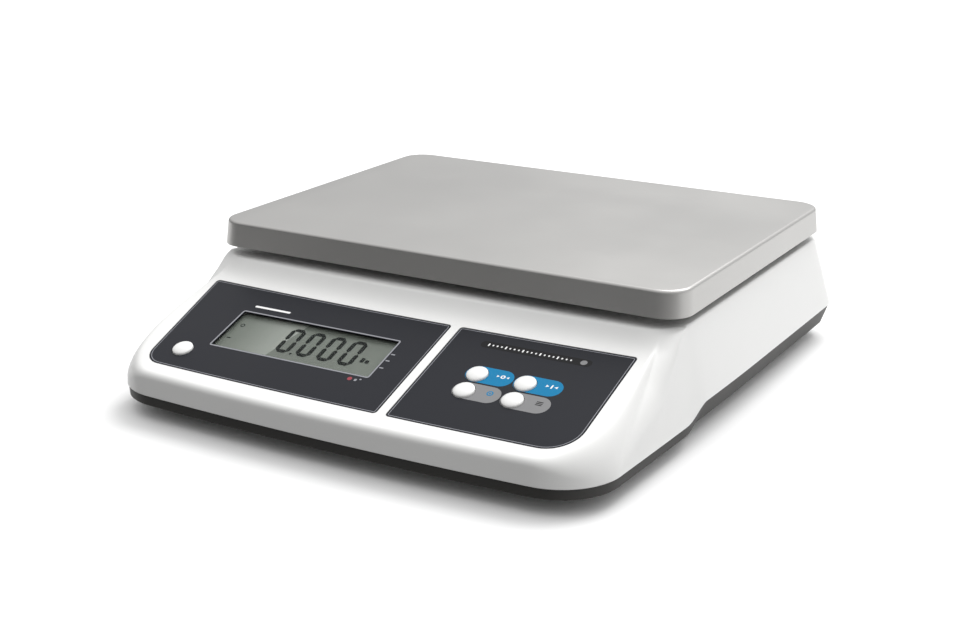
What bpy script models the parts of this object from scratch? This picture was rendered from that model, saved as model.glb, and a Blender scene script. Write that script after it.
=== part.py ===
"""Bench scale: a flat weighing platter on a load cell, in a two-part plastic housing with a sloping console.

Frame: origin under the middle of the scale, at the foot of its pads. +X is to the operator's right, +Y points
away from the operator and +Z is up. Units are metres.
"""
import math

import bmesh
import bpy
from mathutils import Matrix, Vector

GAP = 0.0003                      # clearance between touching pieces

# Heights above the bench.
BASE_BOTTOM = 0.0094
BASE_FLOOR = 0.0124
SEAM_FRONT = 0.0154               # lower edge of the white housing, front part
SEAM_REAR = 0.0224                # and behind the side notch
RIM_TOP = 0.069
PLATTER_BOTTOM = 0.075
PLATTER_TOP = 0.090

# Plan of the housing.
FRONT_Y = -0.1785
FRONT_BOW = 0.0052
FRONT_HALF = 0.1538
FRONT_CORNER = 0.035
SIDE_HALF = 0.1596
SPLAY_END_Y = 0.020
REAR_Y = 0.1785
REAR_CORNER = 0.020
NOTCH_START_Y = -0.065
NOTCH_END_Y = -0.040

# Rim that carries the flat deck under the platter.
RIM_HALF = 0.152
RIM_FRONT_Y = -0.0711
RIM_BOW = 0.0035
RIM_REAR_Y = 0.162
RIM_CORNER = 0.023
RIM_STRETCH = 0.97                 # rim columns sit this much nearer the middle than the seam's
RIM_SHARED = 35                    # degrees of the rim corner taken up beside the seam corner

# Sloping console panel: z = PANEL_Z + PANEL_SLOPE * (y - PANEL_Y).
PANEL_Y = -0.1176
PANEL_Z = 0.048
PANEL_SLOPE = 0.34
PANEL_ANGLE = math.atan(PANEL_SLOPE)
RISE_LENGTH = 0.0125
RISE_POWER = 2.6
SIDE_FILLET = 0.022
FRONT_FILLET = 0.0035
FADE_LENGTH = 0.030
FRONT_LIFT = 0.0017                # the console flattens a little towards its front edge
FRONT_LIFT_LENGTH = 0.014
BEND_WEIGHT = 0.012
LEDGE = 0.005
FRONT_LEAN = 0.0008
HOUSING_ROWS = 13
POST_BOTTOM = 0.0150
TRAY_INSET = 0.0007
TRAY_DRAFT_FRONT = 0.0003
TRAY_DRAFT_REAR = 0.0045
TRAY_CAP = 0.030

WALL = 0.0026
OVERLAY_RECESS = 0.0012

# Platter and what carries it.
PLATTER_Y = 0.0424
PLATTER_SIZE = (0.306, 0.2236)
PLATTER_CORNER = 0.016
PLATTER_FLARE = 0.0012
PLATTER_SHEET = 0.0012
BUFFER_X = 0.118
BUFFER_DY = 0.078
CELL_SIZE = (0.130, 0.030, 0.022)
CELL_BOTTOM = 0.0263
CELL_END_X = 0.050
CELL_X = (-0.050, 0.050)
CELL_HOLE_DX = (-0.0075, 0.0075)
CELL_SCREW = 0.0030
STOP_GAP = 0.0010
CELL_EYE_X = 0.0100
CELL_EYE_RADIUS = 0.0060
CELL_SCREW_TIP = 0.0360
DECK_SCREW_TIP = 0.0385
SPACER_BOTTOM = CELL_BOTTOM + CELL_SIZE[2] + 0.0010
BUFFER_PLACES = [(x, PLATTER_Y + dy) for x in (-BUFFER_X, BUFFER_X) for dy in (-BUFFER_DY, BUFFER_DY)]
BUFFER_TOP = PLATTER_TOP - PLATTER_SHEET - GAP
FRAME_BOTTOM = 0.0750
FRAME_TOP = 0.0832

# Console pieces, in panel coordinates (x, distance up the slope from PANEL_Y, height off the panel).
DISPLAY_X = (-0.1380, 0.0262)
KEYPAD_X = (0.0322, 0.1378)
OVERLAY_V = (-0.0500, 0.0298)
WINDOW_X = (-0.1020, 0.0050)
WINDOW_V = (-0.0250, 0.0080)
KEY_PLACES = {
    "power_key": (-0.1158, -0.0338),
    "key_upper_left": (0.0622, -0.0057),
    "key_upper_right": (0.0910, -0.0057),
    "key_lower_left": (0.0622, -0.0201),
    "key_lower_right": (0.0910, -0.0201),
}
KEY_RADIUS = 0.0060
KEY_HOLE = 0.0063
KEY_FLANGE = 0.0010
BOARD_DEPTH = 0.0120
BOARD_THICK = 0.0016
OVERLAY_DEPTH = (-0.0009, -0.0001)
THROUGH = (-0.008, 0.010)
WINDOW_DEPTH = (-0.0026, -0.0013)
LCD_TOP = -0.0029
SWITCH_HALF = 0.0030
SWITCH_TOP = -0.0085
LEAD_END_V = 0.0180

# Feet.
FOOT_X = 0.118
FOOT_Y = 0.132
PAD_RADIUS = 0.0125
PAD_TOP = 0.0042
WHEEL_RADIUS = 0.0115
STUD_RADIUS = 0.0039
STUD_TOP = 0.0240
BOSS_RADIUS = 0.0078
BOSS_TOP = 0.0235

FOOT_PLACES = [(-FOOT_X, -FOOT_Y), (FOOT_X, -FOOT_Y), (-FOOT_X, FOOT_Y), (FOOT_X, FOOT_Y)]

# Housing screws.
POST_PLACES = [(-0.120, -0.080), (0.120, -0.080), (-0.137, 0.148), (0.137, 0.148)]
POST_RADIUS = 0.0045
SCREW_RADIUS = 0.0015
SCREW_TIP = 0.027
SCREW_HEAD = 0.0030

# Battery and sockets.
BATTERY_SIZE = (0.070, 0.102, 0.046)
BATTERY_AT = (-0.105, 0.050)
COVER_MARGIN = (0.006, 0.009)
COVER_BOTTOM = 0.0076
COVER_SCREWS = [(BATTERY_AT[0], BATTERY_AT[1] - 0.057), (BATTERY_AT[0], BATTERY_AT[1] + 0.057)]
COVER_SCREW_TIP = 0.0200
JACK_X = 0.100
JACK_Z = 0.040
JACK_RADIUS = 0.0058
JACK_BORE = 0.0032
LEVEL_AT = (0.112, 0.020)
LEVEL_RADIUS = 0.0090
REAR_LEAN = math.atan((REAR_Y - RIM_REAR_Y) / (RIM_TOP - SEAM_REAR))
JACK_Y = REAR_Y - (JACK_Z - SEAM_REAR) * math.tan(REAR_LEAN)


# ---------------------------------------------------------------- helpers

def make_collection(name):
    collection = bpy.data.collections.new(name)
    bpy.context.scene.collection.children.link(collection)
    return collection


def make_material(name, colour, roughness, metallic=0.0, alpha=1.0):
    material = bpy.data.materials.new(name)
    material.use_nodes = True
    shader = material.node_tree.nodes["Principled BSDF"]
    shader.inputs["Base Color"].default_value = (*colour, 1.0)
    shader.inputs["Roughness"].default_value = roughness
    shader.inputs["Metallic"].default_value = metallic
    shader.inputs["Alpha"].default_value = alpha
    return material


def add_object(name, mesh, material):
    obj = bpy.data.objects.new(name, mesh)
    PARTS.objects.link(obj)
    mesh.materials.clear()
    mesh.materials.append(material)
    mesh.set_sharp_from_angle(angle=math.radians(35))
    return obj


def mesh_from(bm, name):
    bmesh.ops.recalc_face_normals(bm, faces=bm.faces)
    mesh = bpy.data.meshes.new(name)
    bm.to_mesh(mesh)
    bm.free()
    return mesh


def box_mesh(name, low, high, corner=0.0, segments=4):
    """A box between two corners; corner rounds its upright edges."""
    low = Vector(low)
    high = Vector(high)
    bm = bmesh.new()
    bmesh.ops.create_cube(bm, size=1.0)
    bmesh.ops.scale(bm, vec=high - low, verts=bm.verts)
    bmesh.ops.translate(bm, vec=(low + high) / 2, verts=bm.verts)
    if corner:
        upright = [e for e in bm.edges if abs(e.verts[0].co.z - e.verts[1].co.z) > 1e-6]
        bmesh.ops.bevel(bm, geom=upright, offset=corner, segments=segments, profile=0.5, affect="EDGES")
    return mesh_from(bm, name)


def cylinder_mesh(name, x, y, low, high, radius, segments=16):
    bm = bmesh.new()
    turn = Matrix.Translation((x, y, (low + high) / 2))
    bmesh.ops.create_cone(bm, cap_ends=True, segments=segments, radius1=radius, radius2=radius,
                          depth=high - low, matrix=turn)
    return mesh_from(bm, name)


def turned_mesh(name, profile, steps=20):
    """A solid turned about Z from (radius, height) points, listed from the top down."""
    bm = bmesh.new()
    ring = [bm.verts.new((radius, 0.0, height)) for radius, height in profile]
    for upper, lower in zip(ring, ring[1:]):
        bm.edges.new((upper, lower))
    bmesh.ops.spin(bm, geom=bm.verts[:] + bm.edges[:], cent=(0, 0, 0), axis=(0, 0, 1),
                   angle=math.tau, steps=steps)
    bmesh.ops.remove_doubles(bm, verts=bm.verts, dist=1e-6)
    return mesh_from(bm, name)


def move_mesh(mesh, matrix):
    mesh.transform(matrix)
    return mesh


def cutter(mesh):
    """Keep a helper solid in the other collection, out of renders."""
    obj = bpy.data.objects.new("cut_" + mesh.name, mesh)
    CUTTERS.objects.link(obj)
    obj.hide_render = True
    obj.display_type = "WIRE"
    return obj


def panel_matrix(x=0.0, v=0.0, height=0.0):
    """From a point on the console panel to the row frame: local +Z is the panel's outward normal."""
    along = Vector((0, math.cos(PANEL_ANGLE), math.sin(PANEL_ANGLE)))
    normal = Vector((0, -math.sin(PANEL_ANGLE), math.cos(PANEL_ANGLE)))
    place = Vector((x, PANEL_Y, PANEL_Z)) + along * v + normal * height
    return Matrix.Translation(place) @ Matrix.Rotation(PANEL_ANGLE, 4, "X")


def panel_box(name, xs, vs, heights, corner=0.0, segments=4):
    mesh = box_mesh(name, (xs[0], vs[0], heights[0]), (xs[1], vs[1], heights[1]), corner, segments)
    return move_mesh(mesh, panel_matrix())


def panel_cylinder(name, x, v, heights, radius, segments=20):
    mesh = cylinder_mesh(name, x, v, heights[0], heights[1], radius, segments)
    return move_mesh(mesh, panel_matrix())


def tube(name, points, radius, material):
    """A round cable along a smooth curve through the points, with closed ends."""
    curve = bpy.data.curves.new(name, "CURVE")
    curve.dimensions = "3D"
    curve.bevel_depth = radius
    curve.bevel_resolution = 2
    curve.use_fill_caps = True
    spline = curve.splines.new("POLY")
    route = smooth_route([Vector(p) for p in points], 6)
    spline.points.add(len(route) - 1)
    for item, place in zip(spline.points, route):
        item.co = (*place, 1.0)
    holder = bpy.data.objects.new(name + "_curve", curve)
    CUTTERS.objects.link(holder)
    graph = bpy.context.evaluated_depsgraph_get()
    mesh = bpy.data.meshes.new_from_object(holder.evaluated_get(graph))
    bm = bmesh.new()
    bm.from_mesh(mesh)
    bmesh.ops.remove_doubles(bm, verts=bm.verts, dist=1e-6)
    bpy.data.objects.remove(holder)
    return add_object(name, mesh_from(bm, name), material)


def smooth_route(points, steps):
    """Catmull-Rom curve through the points."""
    ends = [points[0] * 2 - points[1]] + points + [points[-1] * 2 - points[-2]]
    route = []
    for a, b, c, d in zip(ends, ends[1:], ends[2:], ends[3:]):
        for k in range(steps):
            t = k / steps
            route.append(0.5 * (2 * b + (c - a) * t + (2 * a - 5 * b + 4 * c - d) * t * t
                                + (3 * b - a - 3 * c + d) * t ** 3))
    return route + [points[-1]]


# ---------------------------------------------------------------- housing surface

def ease(t):
    t = min(max(t, 0.0), 1.0)
    return t * t * (3 - 2 * t)


def blend(a, b, t):
    return a + (b - a) * t


def arc(centre, radius, degrees):
    """Point on a corner arc: 0 degrees faces the front, 90 the right, 180 the rear."""
    angle = math.radians(degrees)
    return Vector((centre[0] + radius * math.sin(angle), centre[1] - radius * math.cos(angle)))


def side_half(y):
    """Half width at the seam: straight behind, drawn in a little towards the front."""
    ahead = max(0.0, (SPLAY_END_Y - y) / (SPLAY_END_Y - FRONT_Y))
    return SIDE_HALF - (SIDE_HALF - FRONT_HALF) * ahead ** 1.5


def seam_height(y):
    return blend(SEAM_FRONT, SEAM_REAR, ease((y - NOTCH_START_Y) / (NOTCH_END_Y - NOTCH_START_Y)))


def front_line(x):
    return FRONT_Y + FRONT_BOW * (x / FRONT_HALF) ** 2


def rim_front(x):
    return RIM_FRONT_Y - RIM_BOW + RIM_BOW * (x / RIM_HALF) ** 2


def panel_height(y):
    return PANEL_Z + PANEL_SLOPE * (y - PANEL_Y)


SEAM_CORNER_X = side_half(FRONT_Y + FRONT_CORNER) - FRONT_CORNER
SEAM_CORNER = (SEAM_CORNER_X, front_line(SEAM_CORNER_X) + FRONT_CORNER)
RIM_CORNER_AT = (RIM_HALF - RIM_CORNER, rim_front(RIM_HALF - RIM_CORNER) + RIM_CORNER)
SEAM_REAR_AT = (SIDE_HALF - REAR_CORNER, REAR_Y - REAR_CORNER)
RIM_REAR_AT = (RIM_HALF - REAR_CORNER, RIM_REAR_Y - REAR_CORNER)


def outline_columns(inset=0.0):
    """The right half's columns, front to back: seam point, rim point and inward direction."""
    columns = []
    ahead = Vector((0, 1))
    for k in range(5):
        x = SEAM_CORNER[0] * k / 5
        rim_x = RIM_STRETCH * x
        rim = Vector((rim_x, rim_front(rim_x) + inset))
        columns.append((Vector((x, front_line(x) + inset)), rim, ahead))
    for k in range(8):
        t = k / 7
        seam = arc(SEAM_CORNER, FRONT_CORNER - inset, 90 * t)
        rim = arc(RIM_CORNER_AT, RIM_CORNER - inset, RIM_SHARED * t)
        rim.x -= (RIM_CORNER_AT[0] - RIM_STRETCH * SEAM_CORNER[0]) * (1 - t)
        columns.append((seam, rim, (Vector(SEAM_CORNER) - seam).normalized()))
    for k in range(1, 7):
        y = blend(SEAM_CORNER[1], RIM_CORNER_AT[1], k / 6)
        rim = arc(RIM_CORNER_AT, RIM_CORNER - inset, blend(RIM_SHARED, 90, k / 6))
        columns.append((Vector((side_half(y) - inset, y)), rim, Vector((-1, 0))))
    for y in (-0.0415, -0.038, 0.03, 0.10):
        columns.append((Vector((side_half(y) - inset, y)), Vector((RIM_HALF - inset, y)), Vector((-1, 0))))
    for k in range(5):
        angle = 90 + 90 * k / 4
        seam = arc(SEAM_REAR_AT, REAR_CORNER - inset, angle)
        rim = arc(RIM_REAR_AT, REAR_CORNER - inset, angle)
        columns.append((seam, rim, (Vector(SEAM_REAR_AT) - seam).normalized()))
    for k in (2, 1, 0):
        seam = Vector((SEAM_REAR_AT[0] * k / 3, REAR_Y - inset))
        columns.append((seam, Vector((RIM_REAR_AT[0] * k / 3, RIM_REAR_Y - inset)), Vector((0, -1))))
    return columns


def rim_distance(x, y, inset=0.0):
    """How far a point lies outside the rim outline."""
    beyond = x - RIM_CORNER_AT[0]
    ahead = RIM_CORNER_AT[1] - y
    if beyond > 0 and ahead > 0:
        return max(0.0, math.hypot(beyond, ahead) - RIM_CORNER + inset)
    if ahead > 0:
        return max(0.0, rim_front(x) + inset - y)
    return max(0.0, x - RIM_HALF + inset)


def column_profile(seam, rim, inward, inset=0.0):
    """Points (x, y, z) up the wall and over the console to the rim's edge, for one column."""
    top = RIM_TOP - inset
    lower = seam_height(seam.y)
    console = seam.y < RIM_CORNER_AT[1]
    share = 0.0 if not console else math.degrees(math.atan2(-inward.x, inward.y)) / 90
    if not console:
        wall_top = rim
        points = []
    else:
        side_lean = seam.x - RIM_HALF + inset if share == 1 else SEAM_CORNER[0] + FRONT_CORNER - RIM_HALF
        wall = seam + inward * blend(FRONT_LEAN, side_lean, share)
        fade = ease(rim_distance(wall.x, wall.y, inset) / FADE_LENGTH)
        radius = blend(FRONT_FILLET, SIDE_FILLET, ease(share)) - inset / 2
        drop = inset / math.cos(PANEL_ANGLE)
        start = min(panel_height(seam.y) - drop - radius * fade, top)
        wall_top = blend(seam, wall, (start - lower) / (top - lower))
        points = []
        for k in range(61):
            spot = blend(wall_top, rim, ease_out(k / 60))
            edge = max(0.0, min(radius, (spot - wall_top).dot(inward)))
            away = rim_distance(spot.x, spot.y, inset)
            height = panel_height(spot.y) - drop
            height += FRONT_LIFT * (1 - min(1.0, (spot.y - FRONT_Y) / FRONT_LIFT_LENGTH)) ** 2
            height -= (radius - math.sqrt(radius ** 2 - (radius - edge) ** 2)) * ease(away / FADE_LENGTH)
            height += (top - height) * max(0.0, 1 - away / RISE_LENGTH) ** RISE_POWER
            points.append(Vector((spot.x, spot.y, min(height, top))))
    foot = Vector((seam.x, seam.y, lower))
    wall_end = points[0] if points else Vector((wall_top.x, wall_top.y, top))
    climb = [blend(foot, wall_end, k / 12) for k in range(12)]
    return climb + points if points else climb + [wall_end]


def ease_out(t):
    """Denser steps at both ends of the console."""
    return 0.5 - 0.5 * math.cos(math.pi * t)


def resample(points, count):
    """Spread points along a profile, closer together where it bends."""
    weights = [0.0]
    for k in range(1, len(points)):
        step = (points[k] - points[k - 1]).length
        bend = 0.0
        if 1 <= k < len(points) - 1:
            before = points[k] - points[k - 1]
            after = points[k + 1] - points[k]
            if before.length > 1e-7 and after.length > 1e-7:
                bend = before.angle(after)
        weights.append(weights[-1] + step + BEND_WEIGHT * bend)
    result = []
    k = 1
    for n in range(count):
        target = weights[-1] * n / (count - 1)
        while k < len(points) - 1 and weights[k] < target:
            k += 1
        span = max(weights[k] - weights[k - 1], 1e-9)
        result.append(blend(points[k - 1], points[k], min(1.0, max(0.0, (target - weights[k - 1]) / span))))
    return result


def mirrored(rows):
    """Add the left half to columns that run from the middle of the front to the middle of the rear."""
    left = [[Vector((-p.x, p.y, p.z)) for p in row] for row in rows[1:-1]]
    return rows + left[::-1]


def loft_mesh(name, columns):
    """Close a ring of columns into a solid: column ends are capped at the bottom and the top."""
    bm = bmesh.new()
    grid = [[bm.verts.new(p) for p in column] for column in columns]
    for here, after in zip(grid, grid[1:] + grid[:1]):
        for k in range(len(here) - 1):
            bm.faces.new((here[k], after[k], after[k + 1], here[k + 1]))
    for end in (0, -1):
        cap = bm.faces.new([column[end] for column in grid])
        bmesh.ops.triangulate(bm, faces=[cap])
    return mesh_from(bm, name)


def shell_solid(name, inset, rows):
    """The outside of the housing, or with an inset its inside, as a closed solid."""
    columns = []
    for seam, rim, inward in outline_columns(inset):
        profile = resample(column_profile(seam, rim, inward, inset), rows)
        if inset:
            profile = [Vector((seam.x, seam.y, BASE_FLOOR))] + profile
        else:
            ledge = seam + inward * LEDGE
            profile = [Vector((*ledge, POST_BOTTOM)), Vector((*ledge, profile[0].z))] + profile
        columns.append(profile)
    return loft_mesh(name, mirrored(columns))


# ---------------------------------------------------------------- housing and base

def hollow(obj, cavity_mesh, keep=(), cuts=()):
    """Take a cavity out of a solid, leaving the posts in keep standing, then make the cuts."""
    cavity = cutter(cavity_mesh)
    for mesh in keep:
        take(cavity, mesh)
    take(obj, cavity)
    for mesh in cuts:
        take(obj, mesh)


def take(obj, other, operation="DIFFERENCE"):
    """Boolean of an object with a mesh or with a helper object."""
    modifier = obj.modifiers.new(operation.lower(), "BOOLEAN")
    modifier.operation = operation
    modifier.solver = "EXACT"
    modifier.object = other if isinstance(other, bpy.types.Object) else cutter(other)


def build_top_housing():
    """White upper shell with its console, screw posts and openings."""
    obj = add_object("top_housing", shell_solid("top_housing", 0.0, HOUSING_ROWS), WHITE)
    posts = [cylinder_mesh("post", x, y, 0.0, RIM_TOP, POST_RADIUS, 12) for x, y in POST_PLACES]
    depth = (-OVERLAY_RECESS, 0.01)
    cuts = [panel_box("display_recess", grow(DISPLAY_X), grow(OVERLAY_V), depth, 0.004),
            panel_box("keypad_recess", grow(KEYPAD_X), grow(OVERLAY_V), depth, 0.004),
            panel_box("window_hole", grow(WINDOW_X, 0.0016), grow(WINDOW_V, 0.0016), THROUGH)]
    cuts += [panel_cylinder("key_hole", x, v, THROUGH, KEY_HOLE, 16) for x, v in KEY_PLACES.values()]
    cuts += [cylinder_mesh("screw_hole", x, y, 0.0, SCREW_TIP + GAP, SCREW_RADIUS + GAP, 10)
             for x, y in POST_PLACES]
    cuts.append(box_mesh("deck_opening", (CELL_END_X - 0.021, PLATTER_Y - 0.021, 0.05),
                         (CELL_END_X + 0.021, PLATTER_Y + 0.021, 0.08), 0.006))
    cuts.append(cylinder_mesh("level_hole", *LEVEL_AT, 0.05, 0.08, LEVEL_RADIUS + GAP, 20))
    cuts.append(move_mesh(cylinder_mesh("jack_hole", 0, 0, -0.02, 0.02, JACK_RADIUS + GAP, 20), jack_matrix()))
    hollow(obj, shell_solid("housing_cavity", WALL, HOUSING_ROWS), posts, cuts)


def grow(span, amount=GAP):
    return (span[0] - amount, span[1] + amount)


def tray_solid(name, inset, low):
    """The base tray's outside, or with an inset its hollow, from height low upwards."""
    columns = []
    for seam, rim, inward in outline_columns(0.0):
        rear = ease((seam.y - NOTCH_START_Y) / (NOTCH_END_Y - NOTCH_START_Y))
        top = seam + inward * (TRAY_INSET + inset)
        foot = seam + inward * (TRAY_INSET + inset + blend(TRAY_DRAFT_FRONT, TRAY_DRAFT_REAR, rear))
        height = seam_height(seam.y) - GAP
        if inset:
            columns.append([Vector((*foot, low)), Vector((*top, height)), Vector((*top, TRAY_CAP + 0.005))])
        else:
            ledge = seam + inward * (TRAY_INSET + LEDGE)
            columns.append([Vector((*foot, low)), Vector((*top, height)), Vector((*ledge, height)),
                            Vector((*ledge, TRAY_CAP))])
    return loft_mesh(name, mirrored(columns))


def build_base_shell():
    """Dark tray: screw and foot holes, foot bosses, battery opening."""
    obj = add_object("base_shell", tray_solid("base_shell", 0.0, BASE_BOTTOM), DARK)
    keep = [cylinder_mesh("boss", x, y, 0.0, BOSS_TOP, BOSS_RADIUS, 16) for x, y in FOOT_PLACES]
    keep += [cylinder_mesh("screw_boss", x, y, 0.0, POST_BOTTOM - GAP, POST_RADIUS, 12) for x, y in POST_PLACES]
    keep += [cylinder_mesh("cover_boss", x, y, 0.0, COVER_SCREW_TIP + 0.001, POST_RADIUS, 12)
             for x, y in COVER_SCREWS]
    cuts = [cylinder_mesh("stud_hole", x, y, 0.0, 0.05, STUD_RADIUS + GAP, 14) for x, y in FOOT_PLACES]
    cuts += [cylinder_mesh("screw_hole", x, y, 0.0, 0.05, SCREW_RADIUS + GAP, 10) for x, y in POST_PLACES]
    cuts += [cylinder_mesh("cell_hole", CELL_X[0] + dx, PLATTER_Y, 0.0, 0.05, CELL_SCREW + GAP, 12)
             for dx in CELL_HOLE_DX]
    cuts += [cylinder_mesh("cover_hole", x, y, 0.0, COVER_SCREW_TIP + GAP, SCREW_RADIUS + GAP, 10)
             for x, y in COVER_SCREWS]
    cuts.append(box_mesh("battery_opening", bay_corner(-1, 0.0), bay_corner(1, 0.05), 0.004))
    hollow(obj, tray_solid("tray_hollow", WALL, BASE_FLOOR), keep, cuts)


def bay_corner(side, height, spare=(0.001, 0.001)):
    """Corner of the battery, or of something larger by the spare amounts on each side."""
    reach = [size / 2 + extra for size, extra in zip(BATTERY_SIZE, spare)]
    return (BATTERY_AT[0] + side * reach[0], BATTERY_AT[1] + side * reach[1], height)


# ---------------------------------------------------------------- console

def build_console():
    display = add_object("display_overlay", panel_box("display_overlay", DISPLAY_X, OVERLAY_V, OVERLAY_DEPTH, 0.004),
                         FILM)
    take(display, panel_box("window_cut", WINDOW_X, WINDOW_V, THROUGH))
    keypad = add_object("keypad_overlay", panel_box("keypad_overlay", KEYPAD_X, OVERLAY_V, OVERLAY_DEPTH, 0.004),
                        FILM)
    for name, (x, v) in KEY_PLACES.items():
        owner = display if x < 0 else keypad
        take(owner, panel_cylinder("key_cut", x, v, THROUGH, KEY_HOLE, 16))
    add_object("lcd_window", panel_box("lcd_window", grow(WINDOW_X, 0.0012), grow(WINDOW_V, 0.0012),
                                       WINDOW_DEPTH), CLEAR)
    add_object("lcd_module", panel_box("lcd_module", grow(WINDOW_X, 0.004), grow(WINDOW_V, 0.005),
                                       (-0.0088, LCD_TOP)), LCD)
    add_object("display_board", panel_box("display_board", (-0.128, 0.012), (-0.044, 0.016),
                                          (-BOARD_DEPTH - BOARD_THICK, -BOARD_DEPTH), 0.002, 2), BOARD)
    add_object("key_board", panel_box("key_board", (0.046, 0.108), (-0.034, 0.010),
                                      (-BOARD_DEPTH - BOARD_THICK, -BOARD_DEPTH), 0.002, 2), BOARD)
    add_object("key_ribbon", panel_box("key_ribbon", (0.0123, 0.0457), (-0.020, -0.008),
                                       (-BOARD_DEPTH - 0.0010, -BOARD_DEPTH - 0.0006)), FILM)
    for name, (x, v) in KEY_PLACES.items():
        build_key(name, x, v)


def build_key(name, x, v):
    """A domed cap with a retaining flange and a stem, over its switch on the board."""
    profile = [(0.0, 0.0022), (0.0025, 0.0020), (0.0046, 0.0013), (KEY_RADIUS - 0.0003, 0.0006),
               (KEY_RADIUS, 0.0), (KEY_RADIUS, -0.0029), (KEY_RADIUS + KEY_FLANGE, -0.0030),
               (KEY_RADIUS + KEY_FLANGE, -0.0040), (0.0020, -0.0042), (0.0018, -0.0074), (0.0, -0.0075)]
    cap = add_object(name, turned_mesh(name, profile, 20), WHITE)
    cap.matrix_world = panel_matrix(x, v)
    low = (x - SWITCH_HALF, v - SWITCH_HALF, -BOARD_DEPTH + GAP)
    high = (x + SWITCH_HALF, v + SWITCH_HALF, SWITCH_TOP)
    add_object(name + "_switch", move_mesh(box_mesh("switch", low, high, 0.0006, 2), panel_matrix()), DARK)


# ---------------------------------------------------------------- weighing parts

def build_platter():
    """Pressed steel tray, open below, with a slightly flared skirt."""
    half = [size / 2 for size in PLATTER_SIZE]
    mesh = box_mesh("platter", (-half[0], PLATTER_Y - half[1], PLATTER_BOTTOM),
                    (half[0], PLATTER_Y + half[1], PLATTER_TOP), PLATTER_CORNER, 6)
    bm = bmesh.new()
    bm.from_mesh(mesh)
    bmesh.ops.delete(bm, geom=[f for f in bm.faces if f.normal.z < -0.9], context="FACES_ONLY")
    for vert in bm.verts:
        if vert.co.z < PLATTER_BOTTOM + 1e-5:
            vert.co.x *= 1 + PLATTER_FLARE / half[0]
            vert.co.y = PLATTER_Y + (vert.co.y - PLATTER_Y) * (1 + PLATTER_FLARE / half[1])
    rim = [e for e in bm.edges if all(v.co.z > PLATTER_TOP - 1e-5 for v in e.verts)]
    bmesh.ops.bevel(bm, geom=rim, offset=0.0016, segments=2, profile=0.5, affect="EDGES")
    bmesh.ops.recalc_face_normals(bm, faces=bm.faces)
    if max(bm.faces, key=lambda f: f.calc_area()).normal.z < 0:
        bmesh.ops.reverse_faces(bm, faces=bm.faces)
    bm.to_mesh(mesh)
    bm.free()
    platter = add_object("platter", mesh, STEEL)
    sheet = platter.modifiers.new("sheet", "SOLIDIFY")
    sheet.thickness = PLATTER_SHEET
    sheet.offset = -1
    sheet.use_even_offset = True


def build_deck_frame():
    """Cast X-shaped carrier with a pad at each corner, over a spacer on the cell's free end."""
    hub = box_mesh("deck_frame", (-0.072, PLATTER_Y - 0.030, FRAME_BOTTOM), (0.072, PLATTER_Y + 0.030, FRAME_TOP),
                   0.010, 3)
    frame = add_object("deck_frame", hub, CAST)
    reach = math.hypot(BUFFER_X, BUFFER_DY)
    for side in (-1, 1):
        arm = box_mesh("arm", (-reach, -0.009, FRAME_BOTTOM + 0.0010), (reach, 0.009, FRAME_TOP - 0.0010))
        turn = Matrix.Rotation(side * math.atan2(BUFFER_DY, BUFFER_X), 4, "Z")
        take(frame, move_mesh(arm, Matrix.Translation((0, PLATTER_Y, 0)) @ turn), "UNION")
    for x, y in BUFFER_PLACES:
        take(frame, cylinder_mesh("pad", x, y, FRAME_BOTTOM + 0.0005, FRAME_TOP - 0.0005, 0.013, 16), "UNION")
    for x in cell_holes(1):
        take(frame, cylinder_mesh("hole", x, PLATTER_Y, 0.05, 0.10, CELL_SCREW + GAP, 12))
    spacer = add_object("deck_spacer", box_mesh("deck_spacer", (CELL_END_X - 0.0155, PLATTER_Y - 0.014, SPACER_BOTTOM),
                                                (CELL_END_X + 0.0155, PLATTER_Y + 0.014, FRAME_BOTTOM - GAP),
                                                0.003, 2), ALUMINIUM)
    for number, x in enumerate(cell_holes(1), 1):
        take(spacer, cylinder_mesh("hole", x, PLATTER_Y, 0.04, 0.10, CELL_SCREW + GAP, 12))
        screw(f"deck_screw_{number}", x, PLATTER_Y, FRAME_TOP + GAP, DECK_SCREW_TIP, CELL_SCREW, 0.0055, -1)
    for number, (x, y) in enumerate(BUFFER_PLACES, 1):
        profile = [(0.0, BUFFER_TOP), (0.0072, BUFFER_TOP), (0.0082, BUFFER_TOP - 0.0010),
                   (0.0092, FRAME_TOP + 0.0008), (0.0092, FRAME_TOP + GAP), (0.0, FRAME_TOP + GAP)]
        buffer = add_object(f"platter_buffer_{number}", turned_mesh("buffer", profile, 16), RUBBER)
        buffer.location = (x, y, 0.0)


def cell_holes(end):
    """The two screw positions at one end of the load cell."""
    return [CELL_X[end] + dx for dx in CELL_HOLE_DX]


def screw(name, x, y, under_head, tip, shaft, head, up):
    """A pan-head screw whose shaft points up (1) or down (-1) from the underside of its head."""
    rise = 0.0022 if head < 0.004 else 0.0028
    profile = [(0.0, -rise), (head * 0.75, -rise), (head, -rise * 0.45), (head, 0.0), (shaft, 0.0),
               (shaft, abs(tip - under_head) - 0.0006), (shaft * 0.7, abs(tip - under_head)),
               (0.0, abs(tip - under_head))]
    obj = add_object(name, turned_mesh(name, profile[::-1], 12), ZINC)
    obj.matrix_world = Matrix.Translation((x, y, under_head)) @ Matrix.Diagonal((1, up, up, 1))


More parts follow.
